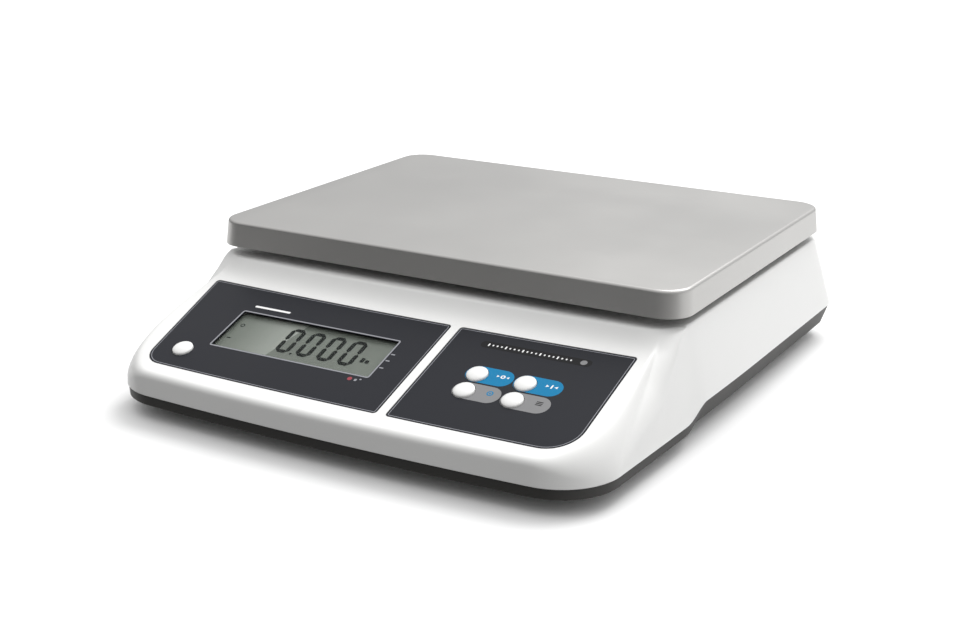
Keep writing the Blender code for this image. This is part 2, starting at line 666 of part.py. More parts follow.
def build_load_cell():
    low = (-CELL_SIZE[0] / 2, PLATTER_Y - CELL_SIZE[1] / 2, CELL_BOTTOM)
    high = (CELL_SIZE[0] / 2, PLATTER_Y + CELL_SIZE[1] / 2, CELL_BOTTOM + CELL_SIZE[2])
    cell = add_object("load_cell", box_mesh("load_cell", low, high), ALUMINIUM)
    middle = CELL_BOTTOM + CELL_SIZE[2] / 2
    side_on = Matrix.Translation((0, PLATTER_Y, middle)) @ Matrix.Rotation(math.radians(90), 4, "X")
    for x in (-CELL_EYE_X, CELL_EYE_X):
        take(cell, move_mesh(cylinder_mesh("eye", x, 0.0, -0.02, 0.02, CELL_EYE_RADIUS, 16), side_on))
    take(cell, move_mesh(box_mesh("eye_slot", (-CELL_EYE_X, -0.0025, -0.02), (CELL_EYE_X, 0.0025, 0.02)), side_on))
    for x in cell_holes(0):
        take(cell, cylinder_mesh("hole", x, PLATTER_Y, 0.0, CELL_SCREW_TIP + GAP, CELL_SCREW + GAP, 12))
    for x in cell_holes(1):
        take(cell, cylinder_mesh("hole", x, PLATTER_Y, DECK_SCREW_TIP - 0.001, 0.10, CELL_SCREW + GAP, 12))
    pedestal = add_object("cell_pedestal", box_mesh("cell_pedestal",
                                                    (CELL_X[0] - 0.0145, PLATTER_Y - 0.014, BASE_FLOOR + GAP),
                                                    (CELL_X[0] + 0.0145, PLATTER_Y + 0.014, CELL_BOTTOM - GAP),
                                                    0.003, 2), ALUMINIUM)
    for number, x in enumerate(cell_holes(0), 1):
        take(pedestal, cylinder_mesh("hole", x, PLATTER_Y, 0.0, 0.05, CELL_SCREW + GAP, 12))
        screw(f"cell_screw_{number}", x, PLATTER_Y, BASE_BOTTOM - GAP, CELL_SCREW_TIP, CELL_SCREW, 0.0052, 1)
    stop = [(0.0, CELL_BOTTOM - STOP_GAP), (0.0022, CELL_BOTTOM - STOP_GAP), (0.0030, CELL_BOTTOM - 0.0020),
            (0.0030, 0.0170), (0.0055, 0.0170), (0.0055, BASE_FLOOR + GAP), (0.0, BASE_FLOOR + GAP)]
    obj = add_object("overload_stop", turned_mesh("overload_stop", stop, 14), ZINC)
    obj.location = (CELL_END_X, PLATTER_Y, 0.0)


# ---------------------------------------------------------------- feet, fasteners, power and level

def build_feet():
    """Each foot: a rubber pad, and a threaded stud with a thumbwheel whose stem sits in the pad."""
    pad = [(0.0026, PAD_TOP), (PAD_RADIUS - 0.0020, PAD_TOP), (PAD_RADIUS, PAD_TOP - 0.0014),
           (PAD_RADIUS, 0.0006), (PAD_RADIUS - 0.0006, 0.0), (0.0, 0.0), (0.0, 0.0016), (0.0026, 0.0016),
           (0.0026, PAD_TOP)]
    stud = [(0.0, STUD_TOP), (STUD_RADIUS - 0.0008, STUD_TOP), (STUD_RADIUS, STUD_TOP - 0.0008),
            (STUD_RADIUS, 0.0086), (WHEEL_RADIUS - 0.0006, 0.0086), (WHEEL_RADIUS, 0.0080),
            (WHEEL_RADIUS, 0.0052), (WHEEL_RADIUS - 0.0006, 0.0046), (0.0022, 0.0046), (0.0022, 0.0019),
            (0.0, 0.0019)]
    for name, (x, y) in zip(("front_left", "front_right", "rear_left", "rear_right"), FOOT_PLACES):
        sole = add_object("foot_pad_" + name, turned_mesh("foot_pad", pad, 18), RUBBER)
        wheel = add_object("foot_screw_" + name, turned_mesh("foot_screw", stud, 18), BLACK)
        sole.location = (x, y, 0.0)
        wheel.location = (x, y, 0.0)


def build_fasteners():
    for number, (x, y) in enumerate(POST_PLACES, 1):
        screw(f"housing_screw_{number}", x, y, BASE_BOTTOM - GAP, SCREW_TIP, SCREW_RADIUS, SCREW_HEAD, 1)
    for number, (x, y) in enumerate(COVER_SCREWS, 1):
        screw(f"cover_screw_{number}", x, y, COVER_BOTTOM - GAP, COVER_SCREW_TIP, SCREW_RADIUS, SCREW_HEAD, 1)


def build_power():
    """Rechargeable battery over its cover, and the supply socket in the rear wall."""
    cover = add_object("battery_cover", box_mesh("battery_cover", bay_corner(-1, COVER_BOTTOM, COVER_MARGIN),
                                                 bay_corner(1, BASE_BOTTOM - GAP, COVER_MARGIN), 0.006, 3), DARK)
    for x, y in COVER_SCREWS:
        take(cover, cylinder_mesh("hole", x, y, 0.0, 0.02, SCREW_RADIUS + GAP, 10))
    add_object("battery", box_mesh("battery", bay_corner(-1, BASE_BOTTOM, (0, 0)),
                                   bay_corner(1, BASE_BOTTOM + BATTERY_SIZE[2], (0, 0)), 0.002, 2), BATTERY)
    jack = [(0.0, -0.0015), (0.0010, -0.0015), (0.0010, -0.0090), (JACK_BORE, -0.0090), (JACK_BORE, -0.0006),
            (JACK_RADIUS - 0.0004, -0.0004), (JACK_RADIUS, -0.0008), (JACK_RADIUS, -0.0120), (0.0, -0.0120)]
    add_object("dc_jack", turned_mesh("dc_jack", jack, 20), BLACK).matrix_world = jack_matrix()
    nut = add_object("dc_jack_nut", cylinder_mesh("dc_jack_nut", 0, 0, -0.0062, -0.0032, 0.0088, 6), ZINC)
    nut.matrix_world = jack_matrix()
    take(nut, move_mesh(cylinder_mesh("hole", 0, 0, -0.02, 0.02, JACK_RADIUS + GAP, 20), jack_matrix()))


def jack_matrix():
    """Local +Z points straight out of the leaning rear wall."""
    return Matrix.Translation((JACK_X, JACK_Y, JACK_Z)) @ Matrix.Rotation(REAR_LEAN - math.radians(90), 4, "X")


def build_level():
    """Bubble level let into the deck, under the platter's front right quarter."""
    cup = [(0.0, 0.0620), (0.0066, 0.0620), (0.0066, RIM_TOP + 0.0016), (LEVEL_RADIUS + 0.0016, RIM_TOP + 0.0012),
           (LEVEL_RADIUS + 0.0020, RIM_TOP + GAP), (LEVEL_RADIUS, RIM_TOP + GAP), (LEVEL_RADIUS, 0.0605),
           (0.0, 0.0605)]
    vial = [(0.0, RIM_TOP + 0.0012), (0.0040, RIM_TOP + 0.0009), (0.0062, RIM_TOP + 0.0003), (0.0062, 0.0623),
            (0.0, 0.0623)]
    add_object("level_cup", turned_mesh("level_cup", cup, 20), BLACK).location = (*LEVEL_AT, 0.0)
    add_object("level_vial", turned_mesh("level_vial", vial, 20), CLEAR).location = (*LEVEL_AT, 0.0)


def build_cables():
    """Leads from the cell, the battery and the socket to the edges of the boards."""
    cell_side = Vector((-0.058, PLATTER_Y - CELL_SIZE[1] / 2 - GAP, CELL_BOTTOM + 0.006))
    display_edge = panel_matrix(-0.055, LEAD_END_V, -0.0128).translation
    tube("load_cell_cable", [cell_side, cell_side + Vector((0, -0.008, 0)), (-0.060, -0.020, 0.024),
                             (-0.058, -0.062, 0.026), display_edge + Vector((0, 0.010, -0.004)), display_edge],
         0.0015, CABLE)
    battery_face = Vector((-0.095, BATTERY_AT[1] - BATTERY_SIZE[1] / 2 - GAP, 0.046))
    tube("battery_lead", [battery_face, battery_face + Vector((0, -0.010, 0)), (-0.092, -0.035, 0.040),
                          (-0.090, -0.070, 0.038), panel_matrix(-0.090, LEAD_END_V, -0.0128).translation],
         0.0012, RED)
    jack_back = jack_matrix() @ Vector((0, 0, -0.0123))
    tube("jack_lead", [jack_back, jack_back + Vector((0, -0.010, -0.003)), (0.104, 0.110, 0.026),
                       (0.100, 0.030, 0.022), (0.090, -0.040, 0.024), (0.080, -0.080, 0.030),
                       panel_matrix(0.078, LEAD_END_V - 0.006, -0.0128).translation], 0.0012, CABLE)


for leftover in list(bpy.data.objects):
    bpy.data.objects.remove(leftover)
PARTS = make_collection("bench_scale")
CUTTERS = make_collection("cutters")
WHITE = make_material("white_plastic", (0.86, 0.86, 0.85), 0.35)
DARK = make_material("dark_plastic", (0.035, 0.034, 0.032), 0.5)
BLACK = make_material("black_plastic", (0.02, 0.02, 0.02), 0.45)
FILM = make_material("overlay_film", (0.04, 0.042, 0.05), 0.4)
CLEAR = make_material("clear_plastic", (0.9, 0.93, 0.92), 0.05, alpha=0.3)
LCD = make_material("lcd", (0.30, 0.35, 0.28), 0.3)
BOARD = make_material("circuit_board", (0.02, 0.16, 0.06), 0.5)
STEEL = make_material("brushed_stainless", (0.60, 0.59, 0.57), 0.35, metallic=1.0)
CAST = make_material("cast_aluminium", (0.55, 0.56, 0.57), 0.55, metallic=1.0)
ALUMINIUM = make_material("machined_aluminium", (0.70, 0.70, 0.72), 0.35, metallic=1.0)
ZINC = make_material("zinc_plated", (0.62, 0.62, 0.60), 0.35, metallic=1.0)
RUBBER = make_material("rubber", (0.03, 0.03, 0.03), 0.85)
CABLE = make_material("cable_sheath", (0.03, 0.03, 0.03), 0.6)
RED = make_material("red_lead", (0.45, 0.02, 0.02), 0.5)
BATTERY = make_material("battery_case", (0.08, 0.08, 0.09), 0.5)

build_base_shell()
build_top_housing()
build_console()
build_platter()
build_deck_frame()
build_load_cell()
build_feet()
build_fasteners()
build_power()
build_level()
build_cables()
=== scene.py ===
"""Looks of the bench scale: fine housing, platter, films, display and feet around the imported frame."""
import math

import bmesh
import bpy
from mathutils import Matrix, Vector


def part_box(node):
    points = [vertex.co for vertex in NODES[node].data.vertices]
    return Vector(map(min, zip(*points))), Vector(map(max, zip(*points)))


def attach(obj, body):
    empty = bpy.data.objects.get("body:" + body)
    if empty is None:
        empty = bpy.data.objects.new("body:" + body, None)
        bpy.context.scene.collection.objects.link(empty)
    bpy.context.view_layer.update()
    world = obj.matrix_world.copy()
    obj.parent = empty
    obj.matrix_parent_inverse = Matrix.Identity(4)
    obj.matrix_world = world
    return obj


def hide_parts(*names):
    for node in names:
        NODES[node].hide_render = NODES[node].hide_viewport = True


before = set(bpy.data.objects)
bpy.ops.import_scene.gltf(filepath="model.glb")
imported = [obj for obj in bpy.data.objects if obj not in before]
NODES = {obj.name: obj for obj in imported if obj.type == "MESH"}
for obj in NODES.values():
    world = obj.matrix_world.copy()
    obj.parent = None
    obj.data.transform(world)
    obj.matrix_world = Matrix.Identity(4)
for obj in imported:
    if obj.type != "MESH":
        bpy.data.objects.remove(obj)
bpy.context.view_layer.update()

# ---------------------------------------------------------------- driving dimensions, in metres

HOUSING_LOW, HOUSING_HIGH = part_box("top_housing")
TRAY_LOW, TRAY_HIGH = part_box("base_shell")
PLATTER_LOW, PLATTER_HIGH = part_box("platter")

SEAM_FRONT = HOUSING_LOW[2] + 0.0004
SEAM_RISE = 0.007                       # the seam steps up this much behind the side notch
NOTCH = (-0.065, -0.040)
LEVEL_AGAIN_Y = NOTCH[1] + 0.004        # behind this the seam runs level
RIM_TOP = HOUSING_HIGH[2]
FRONT_Y = HOUSING_LOW[1]
REAR_Y = HOUSING_HIGH[1]
SIDE_HALF = HOUSING_HIGH[0]
FRONT_HALF = SIDE_HALF - 0.0058
FRONT_BOW = 0.0052
FRONT_CORNER = 0.035
REAR_CORNER = 0.020
SPLAY_END_Y = 0.020
RIM_HALF = 0.152
RIM_FRONT_Y = -0.0711
RIM_BOW = 0.0035
RIM_REAR_Y = REAR_Y - 0.0165
RIM_CORNER = 0.023
RIM_EDGE = 0.0013
RIM_STRETCH = 0.97                      # rim columns sit this much nearer the middle than the seam's
RIM_SHARED = 35                         # degrees of the rim corner taken up beside the seam corner
PANEL_Y = -0.1176
PANEL_Z = 0.048
PANEL_SLOPE = 0.34
PANEL_ANGLE = math.atan(PANEL_SLOPE)
RISE_LENGTH = 0.0125
RISE_POWER = 2.6
SIDE_FILLET = 0.022
FRONT_FILLET = 0.0035
FADE_LENGTH = 0.030
FRONT_LIFT = 0.0017
FRONT_LIFT_LENGTH = 0.014
FRONT_LEAN = 0.0008
WALL = 0.0026
GAP = 0.0003
BASE_FLOOR = TRAY_LOW[2] + 0.003
RECESS = 0.0012
BEND_WEIGHT = 0.012
CATCH_UP = 0.7                          # share of the side after which a column's rim and wall sit abreast
LEAST_WALL = 0.0012                     # upright wall always left under the console's fillet
WALL_POINTS = 24                        # points up the wall and over the console before they are spread
CONSOLE_POINTS = 121
SMOOTH_ANGLE = 32                       # edges sharper than this many degrees stay crisp


# ---------------------------------------------------------------- small maths

def ease(t):
    t = min(max(t, 0.0), 1.0)
    return t * t * (3 - 2 * t)


def mix(a, b, t):
    return a + (b - a) * t


def arc(centre, radius, degrees):
    """Point on a corner arc: 0 degrees faces the front, 90 the right, 180 the rear."""
    angle = math.radians(degrees)
    return Vector((centre[0] + radius * math.sin(angle), centre[1] - radius * math.cos(angle)))


def panel_matrix(x=0.0, v=0.0, height=0.0):
    """Console coordinates: x, distance v up the slope, and height off the panel."""
    along = Vector((0, math.cos(PANEL_ANGLE), math.sin(PANEL_ANGLE)))
    normal = Vector((0, -math.sin(PANEL_ANGLE), math.cos(PANEL_ANGLE)))
    place = Vector((x, PANEL_Y, PANEL_Z)) + along * v + normal * height
    return Matrix.Translation(place) @ Matrix.Rotation(PANEL_ANGLE, 4, "X")


# ---------------------------------------------------------------- outlines of the seam and the rim

def side_half(y):
    ahead = max(0.0, (SPLAY_END_Y - y) / (SPLAY_END_Y - FRONT_Y))
    return SIDE_HALF - (SIDE_HALF - FRONT_HALF) * ahead ** 1.5


def side_slant(y):
    """How fast the side draws in towards the front, in degrees off straight."""
    return math.degrees(math.atan((side_half(y + 0.001) - side_half(y - 0.001)) / 0.002))


def front_line(x):
    return FRONT_Y + FRONT_BOW * (x / FRONT_HALF) ** 2


def rim_front(x):
    return RIM_FRONT_Y - RIM_BOW + RIM_BOW * (x / RIM_HALF) ** 2


def seam_height(y):
    return SEAM_FRONT + SEAM_RISE * ease((y - NOTCH[0]) / (NOTCH[1] - NOTCH[0]))


def panel_height(y):
    return PANEL_Z + PANEL_SLOPE * (y - PANEL_Y)


def settle_corner(line, bow, half, radius, side):
    """Centre and end angles of the arc that meets a bowed front line and a side line without a kink."""
    centre = Vector((side(FRONT_Y + radius) - radius, line(side(FRONT_Y)) + radius))
    first = last = 0.0
    for _ in range(6):
        first = math.degrees(math.atan(2 * bow * centre.x / half ** 2))
        last = 90 - (side_slant(centre.y) if side is side_half else 0.0)
        centre.x = side(centre.y) - radius * math.sin(math.radians(last))
        centre.y = line(centre.x + radius * math.sin(math.radians(first)))
        centre.y += radius * math.cos(math.radians(first))
    return centre, first, last


SEAM_AT, SEAM_FIRST, SEAM_LAST = settle_corner(front_line, FRONT_BOW, FRONT_HALF, FRONT_CORNER, side_half)
RIM_AT, RIM_FIRST, RIM_LAST = settle_corner(rim_front, RIM_BOW, RIM_HALF, RIM_CORNER, lambda y: RIM_HALF)
SEAM_REAR_AT = Vector((SIDE_HALF - REAR_CORNER, REAR_Y - REAR_CORNER))
RIM_REAR_AT = Vector((RIM_HALF - REAR_CORNER, RIM_REAR_Y - REAR_CORNER))
RIM_TURN_X = RIM_STRETCH * SEAM_AT.x


def rim_spot(distance, inset):
    """Point on the rim outline, a distance past where the seam's corner starts."""
    straight = RIM_AT.x + RIM_CORNER * math.sin(math.radians(RIM_FIRST)) - RIM_TURN_X
    if distance < straight:
        x = RIM_TURN_X + distance
        return Vector((x, rim_front(x) + inset))
    turn = RIM_FIRST + math.degrees((distance - straight) / RIM_CORNER)
    return arc(RIM_AT, RIM_CORNER - inset, turn)


def outline_columns(inset=0.0, fine=1):
    """The right half's columns, front to back: seam point, rim point and inward direction."""
    columns = []
    for k in range(8 * fine):
        x = SEAM_AT.x * k / (8 * fine)
        rim_x = RIM_STRETCH * x
        columns.append((Vector((x, front_line(x) + inset)), Vector((rim_x, rim_front(rim_x) + inset)),
                        Vector((0, 1))))
    straight = RIM_AT.x + RIM_CORNER * math.sin(math.radians(RIM_FIRST)) - RIM_TURN_X
    shared = straight + RIM_CORNER * math.radians(RIM_SHARED - RIM_FIRST)
    for k in range(10 * fine + 1):
        t = k / (10 * fine)
        seam = arc(SEAM_AT, FRONT_CORNER - inset, mix(SEAM_FIRST, SEAM_LAST, t))
        columns.append((seam, rim_spot(shared * t, inset), (SEAM_AT - seam).normalized()))
    turn_y = columns[-1][0].y
    for k in range(1, 9 * fine + 1):
        t = k / (9 * fine)
        y = mix(turn_y, RIM_AT.y, t)
        rim = arc(RIM_AT, RIM_CORNER - inset, mix(RIM_SHARED, 90, t))
        columns.append((Vector((side_half(y) - inset, y)), rim, Vector((-1, 0))))
    for k in range(1, 5 * fine + 1):
        y = mix(RIM_AT.y, LEVEL_AGAIN_Y, k / (5 * fine))
        columns.append((Vector((side_half(y) - inset, y)), Vector((RIM_HALF - inset, y)), Vector((-1, 0))))
    for k in range(1, 6 * fine):
        y = mix(LEVEL_AGAIN_Y, SEAM_REAR_AT.y, k / (6 * fine))
        rim_y = mix(LEVEL_AGAIN_Y, RIM_REAR_AT.y, k / (6 * fine))
        seam = Vector((side_half(y) - inset, y))
        columns.append((seam, Vector((RIM_HALF - inset, rim_y)), Vector((-1, 0))))
    for k in range(5 * fine + 1):
        angle = 90 + 90 * k / (5 * fine)
        seam = arc(SEAM_REAR_AT, REAR_CORNER - inset, angle)
        rim = arc(RIM_REAR_AT, REAR_CORNER - inset, angle)
        columns.append((seam, rim, (SEAM_REAR_AT - seam).normalized()))
    for k in range(3 * fine - 1, -1, -1):
        part = k / (3 * fine)
        columns.append((Vector((SEAM_REAR_AT.x * part, REAR_Y - inset)),
                        Vector((RIM_REAR_AT.x * part, RIM_REAR_Y - inset)), Vector((0, -1))))
    return columns


def rim_distance(x, y, inset=0.0):
    """How far a point lies outside the rim outline."""
    beyond = x - RIM_AT.x
    ahead = RIM_AT.y - y
    if beyond > 0 and ahead > 0:
        return max(0.0, math.hypot(beyond, ahead) - RIM_CORNER + inset)
    if ahead > 0:
        return max(0.0, rim_front(x) + inset - y)
    return max(0.0, x - RIM_HALF + inset)


def column_profile(seam, rim, inward, inset=0.0):
    """Points up the wall, over the console and onto the deck, for one column."""
    top = RIM_TOP - inset
    foot = Vector((seam.x, seam.y, seam_height(seam.y)))
    points = []
    if seam.y < RIM_AT.y - 1e-6:
        share = min(1.0, math.degrees(math.atan2(-inward.x, inward.y)) / SEAM_LAST)
        base = seam
        if share == 1:
            ahead = (seam.y - SEAM_AT.y) / (RIM_AT.y - SEAM_AT.y)
            y = mix(seam.y, rim.y, ease(ahead / CATCH_UP))
            base = Vector((side_half(y) - inset, y))
        side_lean = base.x - RIM_HALF + inset if share == 1 else SEAM_AT.x + FRONT_CORNER - RIM_HALF
        wall = base + inward * mix(FRONT_LEAN, side_lean, share)
        fade = ease(rim_distance(wall.x, wall.y, inset) / FADE_LENGTH)
        drop = inset / math.cos(PANEL_ANGLE)
        room = panel_height(base.y) - drop - foot.z - LEAST_WALL
        radius = min(mix(FRONT_FILLET, SIDE_FILLET, ease(share)) - inset / 2, room / max(fade, 0.01))
        start = min(panel_height(base.y) - drop - radius * fade, top)
        wall_top = mix(base, wall, (start - foot.z) / (top - foot.z))
        for k in range(CONSOLE_POINTS):
            spot = mix(wall_top, rim, 0.5 - 0.5 * math.cos(math.pi * k / (CONSOLE_POINTS - 1)))
            edge = max(0.0, min(radius, (spot - wall_top).dot(inward)))
            away = rim_distance(spot.x, spot.y, inset)
            height = panel_height(spot.y) - drop
            height += FRONT_LIFT * (1 - min(1.0, (spot.y - FRONT_Y) / FRONT_LIFT_LENGTH)) ** 2
            height -= (radius - math.sqrt(radius ** 2 - (radius - edge) ** 2)) * ease(away / FADE_LENGTH)
            height += (top - height) * max(0.0, 1 - away / RISE_LENGTH) ** RISE_POWER
            points.append(Vector((spot.x, spot.y, min(height, top))))
    else:
        points = [Vector((rim.x, rim.y, top))]
    return [mix(foot, points[0], k / WALL_POINTS) for k in range(WALL_POINTS)] + points


def round_off(points, inward):
    """Turn the profile's last corner into a small soft edge that runs onto the deck."""
    edge = points[-1]
    back = len(points) - 1
    while back > 0 and (points[back] - edge).length < RIM_EDGE:
        back -= 1
    start = edge + (points[back] - edge).normalized() * RIM_EDGE
    inner = edge + Vector((inward.x, inward.y, 0)) * RIM_EDGE * 1.3
    soft = []
    for k in range(9):
        t = k / 8
        soft.append(start * (1 - t) ** 2 + edge * 2 * t * (1 - t) + inner * t ** 2)
    return points[:back + 1] + soft


def resample(points, count):
    """Spread points along a profile, closer together where it bends."""
    weights = [0.0]
    for k in range(1, len(points)):
        bend = 0.0
        if k < len(points) - 1:
            before = points[k] - points[k - 1]
            after = points[k + 1] - points[k]
            if min(before.length, after.length) > 1e-7:
                bend = before.angle(after)
        weights.append(weights[-1] + (points[k] - points[k - 1]).length + BEND_WEIGHT * bend)
    result = []
    k = 1
    for n in range(count):
        target = weights[-1] * n / (count - 1)
        while k < len(points) - 1 and weights[k] < target:
            k += 1
        span = max(weights[k] - weights[k - 1], 1e-9)
        result.append(mix(points[k - 1], points[k], min(1.0, max(0.0, (target - weights[k - 1]) / span))))
    return result


# ---------------------------------------------------------------- mesh helpers

def finish_mesh(bm, name):
    """Weld, face outwards and shade a mesh, and free its builder."""
    bmesh.ops.remove_doubles(bm, verts=bm.verts, dist=1e-6)
    bmesh.ops.recalc_face_normals(bm, faces=bm.faces)
    mesh = bpy.data.meshes.new(name)
    bm.to_mesh(mesh)
    bm.free()
    mesh.shade_smooth()
    mesh.set_sharp_from_angle(angle=math.radians(SMOOTH_ANGLE))
    return mesh


def piece(name, mesh, material, body, replaced=()):
    """Add a visible piece, with its material, the body it rides on and the CAD nodes it stands for."""
    obj = bpy.data.objects.new(name, mesh)
    bpy.context.scene.collection.objects.link(obj)
    mesh.materials.clear()
    mesh.materials.append(material)
    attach(obj, body)
    if replaced:
        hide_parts(*replaced)
    return obj


def helper(mesh):
    obj = bpy.data.objects.new("helper", mesh)
    bpy.context.scene.collection.objects.link(obj)
    return obj


def carve(mesh, tools):
    """Cut the tools out of a mesh and give back the new mesh."""
    base = helper(mesh)
    others = [helper(tool) for tool in tools]
    for other in others:
        modifier = base.modifiers.new("carve", "BOOLEAN")
        modifier.operation = "DIFFERENCE"
        modifier.solver = "EXACT"
        modifier.object = other
    graph = bpy.context.evaluated_depsgraph_get()
    result = bpy.data.meshes.new_from_object(base.evaluated_get(graph))
    for obj in [base] + others:
        bpy.data.objects.remove(obj)
    return result


def resmooth(mesh):
    bm = bmesh.new()
    bm.from_mesh(mesh)
    return finish_mesh(bm, mesh.name)


def box_mesh(low, high, corner=0.0, segments=8):
    """Box between two corners, with rounded upright edges."""
    low = Vector(low)
    high = Vector(high)
    bm = bmesh.new()
    bmesh.ops.create_cube(bm, size=1.0)
    bmesh.ops.scale(bm, vec=high - low, verts=bm.verts)
    bmesh.ops.translate(bm, vec=(low + high) / 2, verts=bm.verts)
    if corner:
        upright = [e for e in bm.edges if abs(e.verts[0].co.z - e.verts[1].co.z) > 1e-6]
        bmesh.ops.bevel(bm, geom=upright, offset=corner, segments=segments, profile=0.5, affect="EDGES")
    return finish_mesh(bm, "box")


def turned_mesh(profile, steps=48):
    """A solid turned about Z from (radius, height) points."""
    bm = bmesh.new()
    ring = [bm.verts.new((radius, 0.0, height)) for radius, height in profile]
    for upper, lower in zip(ring, ring[1:]):
        bm.edges.new((upper, lower))
    bmesh.ops.spin(bm, geom=bm.verts[:] + bm.edges[:], cent=(0, 0, 0), axis=(0, 0, 1),
                   angle=math.tau, steps=steps)
    return finish_mesh(bm, "turned")


def cylinder_mesh(radius, low, high, steps=48, place=(0, 0)):
    profile = [(0, high), (radius, high), (radius, low), (0, low)]
    mesh = turned_mesh(profile, steps)
    mesh.transform(Matrix.Translation((*place, 0)))
    return mesh


def placed(mesh, matrix):
    mesh.transform(matrix)
    return mesh


def outline_plate(points, low, high, matrix=None):
    """A thin plate with any flat outline, from a filled 2D curve, as a welded mesh."""
    curve = bpy.data.curves.new("outline", "CURVE")
    curve.dimensions = "2D"
    curve.fill_mode = "BOTH"
    curve.extrude = (high - low) / 2
    for loop in points:
        spline = curve.splines.new("POLY")
        spline.points.add(len(loop) - 1)
        for item, spot in zip(spline.points, loop):
            item.co = (spot[0], spot[1], 0, 1)
        spline.use_cyclic_u = True
    holder = bpy.data.objects.new("outline", curve)
    bpy.context.scene.collection.objects.link(holder)
    graph = bpy.context.evaluated_depsgraph_get()
    mesh = bpy.data.meshes.new_from_object(holder.evaluated_get(graph))
    bpy.data.objects.remove(holder)
    mesh.transform(Matrix.Translation((0, 0, (low + high) / 2)))
    if matrix is not None:
        mesh.transform(matrix)
    bm = bmesh.new()
    bm.from_mesh(mesh)
    return finish_mesh(bm, "plate")


def joined(meshes):
    """Several separate meshes as one mesh."""
    bm = bmesh.new()
    for mesh in meshes:
        bm.from_mesh(mesh)
    result = bpy.data.meshes.new("joined")
    bm.to_mesh(result)
    bm.free()
    result.shade_smooth()
    result.set_sharp_from_angle(angle=math.radians(SMOOTH_ANGLE))
    return result


def rounded_outline(corners, radii, steps=10, spread=16):
    """A polygon's outline with a radius at each corner; its straight sides are cut into short pieces."""
    arcs = []
    for k, (corner, radius) in enumerate(zip(corners, radii)):
        here = Vector(corner)
        back = (Vector(corners[k - 1]) - here).normalized()
        ahead = (Vector(corners[(k + 1) % len(corners)]) - here).normalized()
        half = back.angle(ahead) / 2
        centre = here + (back + ahead).normalized() * radius / math.sin(half)
        start = here + back * radius / math.tan(half) - centre
        end = here + ahead * radius / math.tan(half) - centre
        arcs.append([centre + start.slerp(end, n / steps).normalized() * radius for n in range(steps + 1)])
    outline = []
    for here, after in zip(arcs, arcs[1:] + arcs[:1]):
        outline += here + [mix(here[-1], after[0], n / spread) for n in range(1, spread)]
    return [tuple(point) for point in outline]


def rectangle(low, high, radius, grow=0.0):
    """A rounded rectangle's outline, grown outwards all round."""
    a, b = low[0] - grow, low[1] - grow
    c, d = high[0] + grow, high[1] + grow
    return rounded_outline([(a, b), (c, b), (c, d), (a, d)], [radius + grow] * 4, 8, 4)


def circle(x, y, radius, steps=48):
    return [(x + radius * math.cos(math.tau * k / steps), y + radius * math.sin(math.tau * k / steps))
            for k in range(steps)]


# ---------------------------------------------------------------- shader groups and materials

class Wiring:
    """Short notation for placing and linking shader nodes in one tree."""

    def __init__(self, tree):
        self.tree = tree

    def add(self, kind, **settings):
        node = self.tree.nodes.new(kind)
        for name, value in settings.items():
            if hasattr(node, name):
                setattr(node, name, value)
            else:
                node.inputs[name.replace("_", " ")].default_value = value
        return node

    def link(self, start, end):
        self.tree.links.new(start, end)


def new_group(name, inputs, outputs):
    group = bpy.data.node_groups.new(name, "ShaderNodeTree")
    for label, kind, default in inputs:
        socket = group.interface.new_socket(label, in_out="INPUT", socket_type=kind)
        socket.default_value = default
    for label, kind in outputs:
        group.interface.new_socket(label, in_out="OUTPUT", socket_type=kind)
    wiring = Wiring(group)
    return group, wiring, wiring.add("NodeGroupInput"), wiring.add("NodeGroupOutput")


def make_moulded_group():
    """Spark-eroded plastic skin: a fine pebble height, and a broad faint mottle for colour and gloss."""
    group, wiring, given, out = new_group(
        "moulded skin",
        [("Pebble Scale", "NodeSocketFloat", 1500.0), ("Mottle Scale", "NodeSocketFloat", 14.0)],
        [("Height", "NodeSocketFloat"), ("Mottle", "NodeSocketFloat")])
    spot = wiring.add("ShaderNodeTexCoord")
    pebble = wiring.add("ShaderNodeTexNoise", Detail=2.0, Roughness=0.5)
    mottle = wiring.add("ShaderNodeTexNoise", Detail=4.0, Roughness=0.6)
    for noise, label in ((pebble, "Pebble Scale"), (mottle, "Mottle Scale")):
        wiring.link(spot.outputs["Object"], noise.inputs["Vector"])
        wiring.link(given.outputs[label], noise.inputs["Scale"])
    wiring.link(pebble.outputs["Fac"], out.inputs["Height"])
    wiring.link(mottle.outputs["Fac"], out.inputs["Mottle"])
    return group


def make_brushed_group():
    """Straight hairlines along X, with a few deeper ones, and broad cloudy wear."""
    group, wiring, given, out = new_group(
        "brushed metal", [("Hair Scale", "NodeSocketFloat", 1.0), ("Cloud Scale", "NodeSocketFloat", 9.0)],
        [("Hair", "NodeSocketFloat"), ("Cloud", "NodeSocketFloat")])
    spot = wiring.add("ShaderNodeTexCoord")
    stretch = wiring.add("ShaderNodeMapping")
    stretch.inputs["Scale"].default_value = (14.0, 1500.0, 1500.0)
    hair = wiring.add("ShaderNodeTexNoise", Detail=3.0, Roughness=0.65)
    cloud = wiring.add("ShaderNodeTexNoise", Detail=5.0, Roughness=0.55)
    wiring.link(spot.outputs["Object"], stretch.inputs["Vector"])
    wiring.link(stretch.outputs["Vector"], hair.inputs["Vector"])
    wiring.link(given.outputs["Hair Scale"], hair.inputs["Scale"])
    wiring.link(spot.outputs["Object"], cloud.inputs["Vector"])
    wiring.link(given.outputs["Cloud Scale"], cloud.inputs["Scale"])
    wiring.link(hair.outputs["Fac"], out.inputs["Hair"])
    wiring.link(cloud.outputs["Fac"], out.inputs["Cloud"])
    return group


MOULDED = make_moulded_group()
BRUSHED = make_brushed_group()


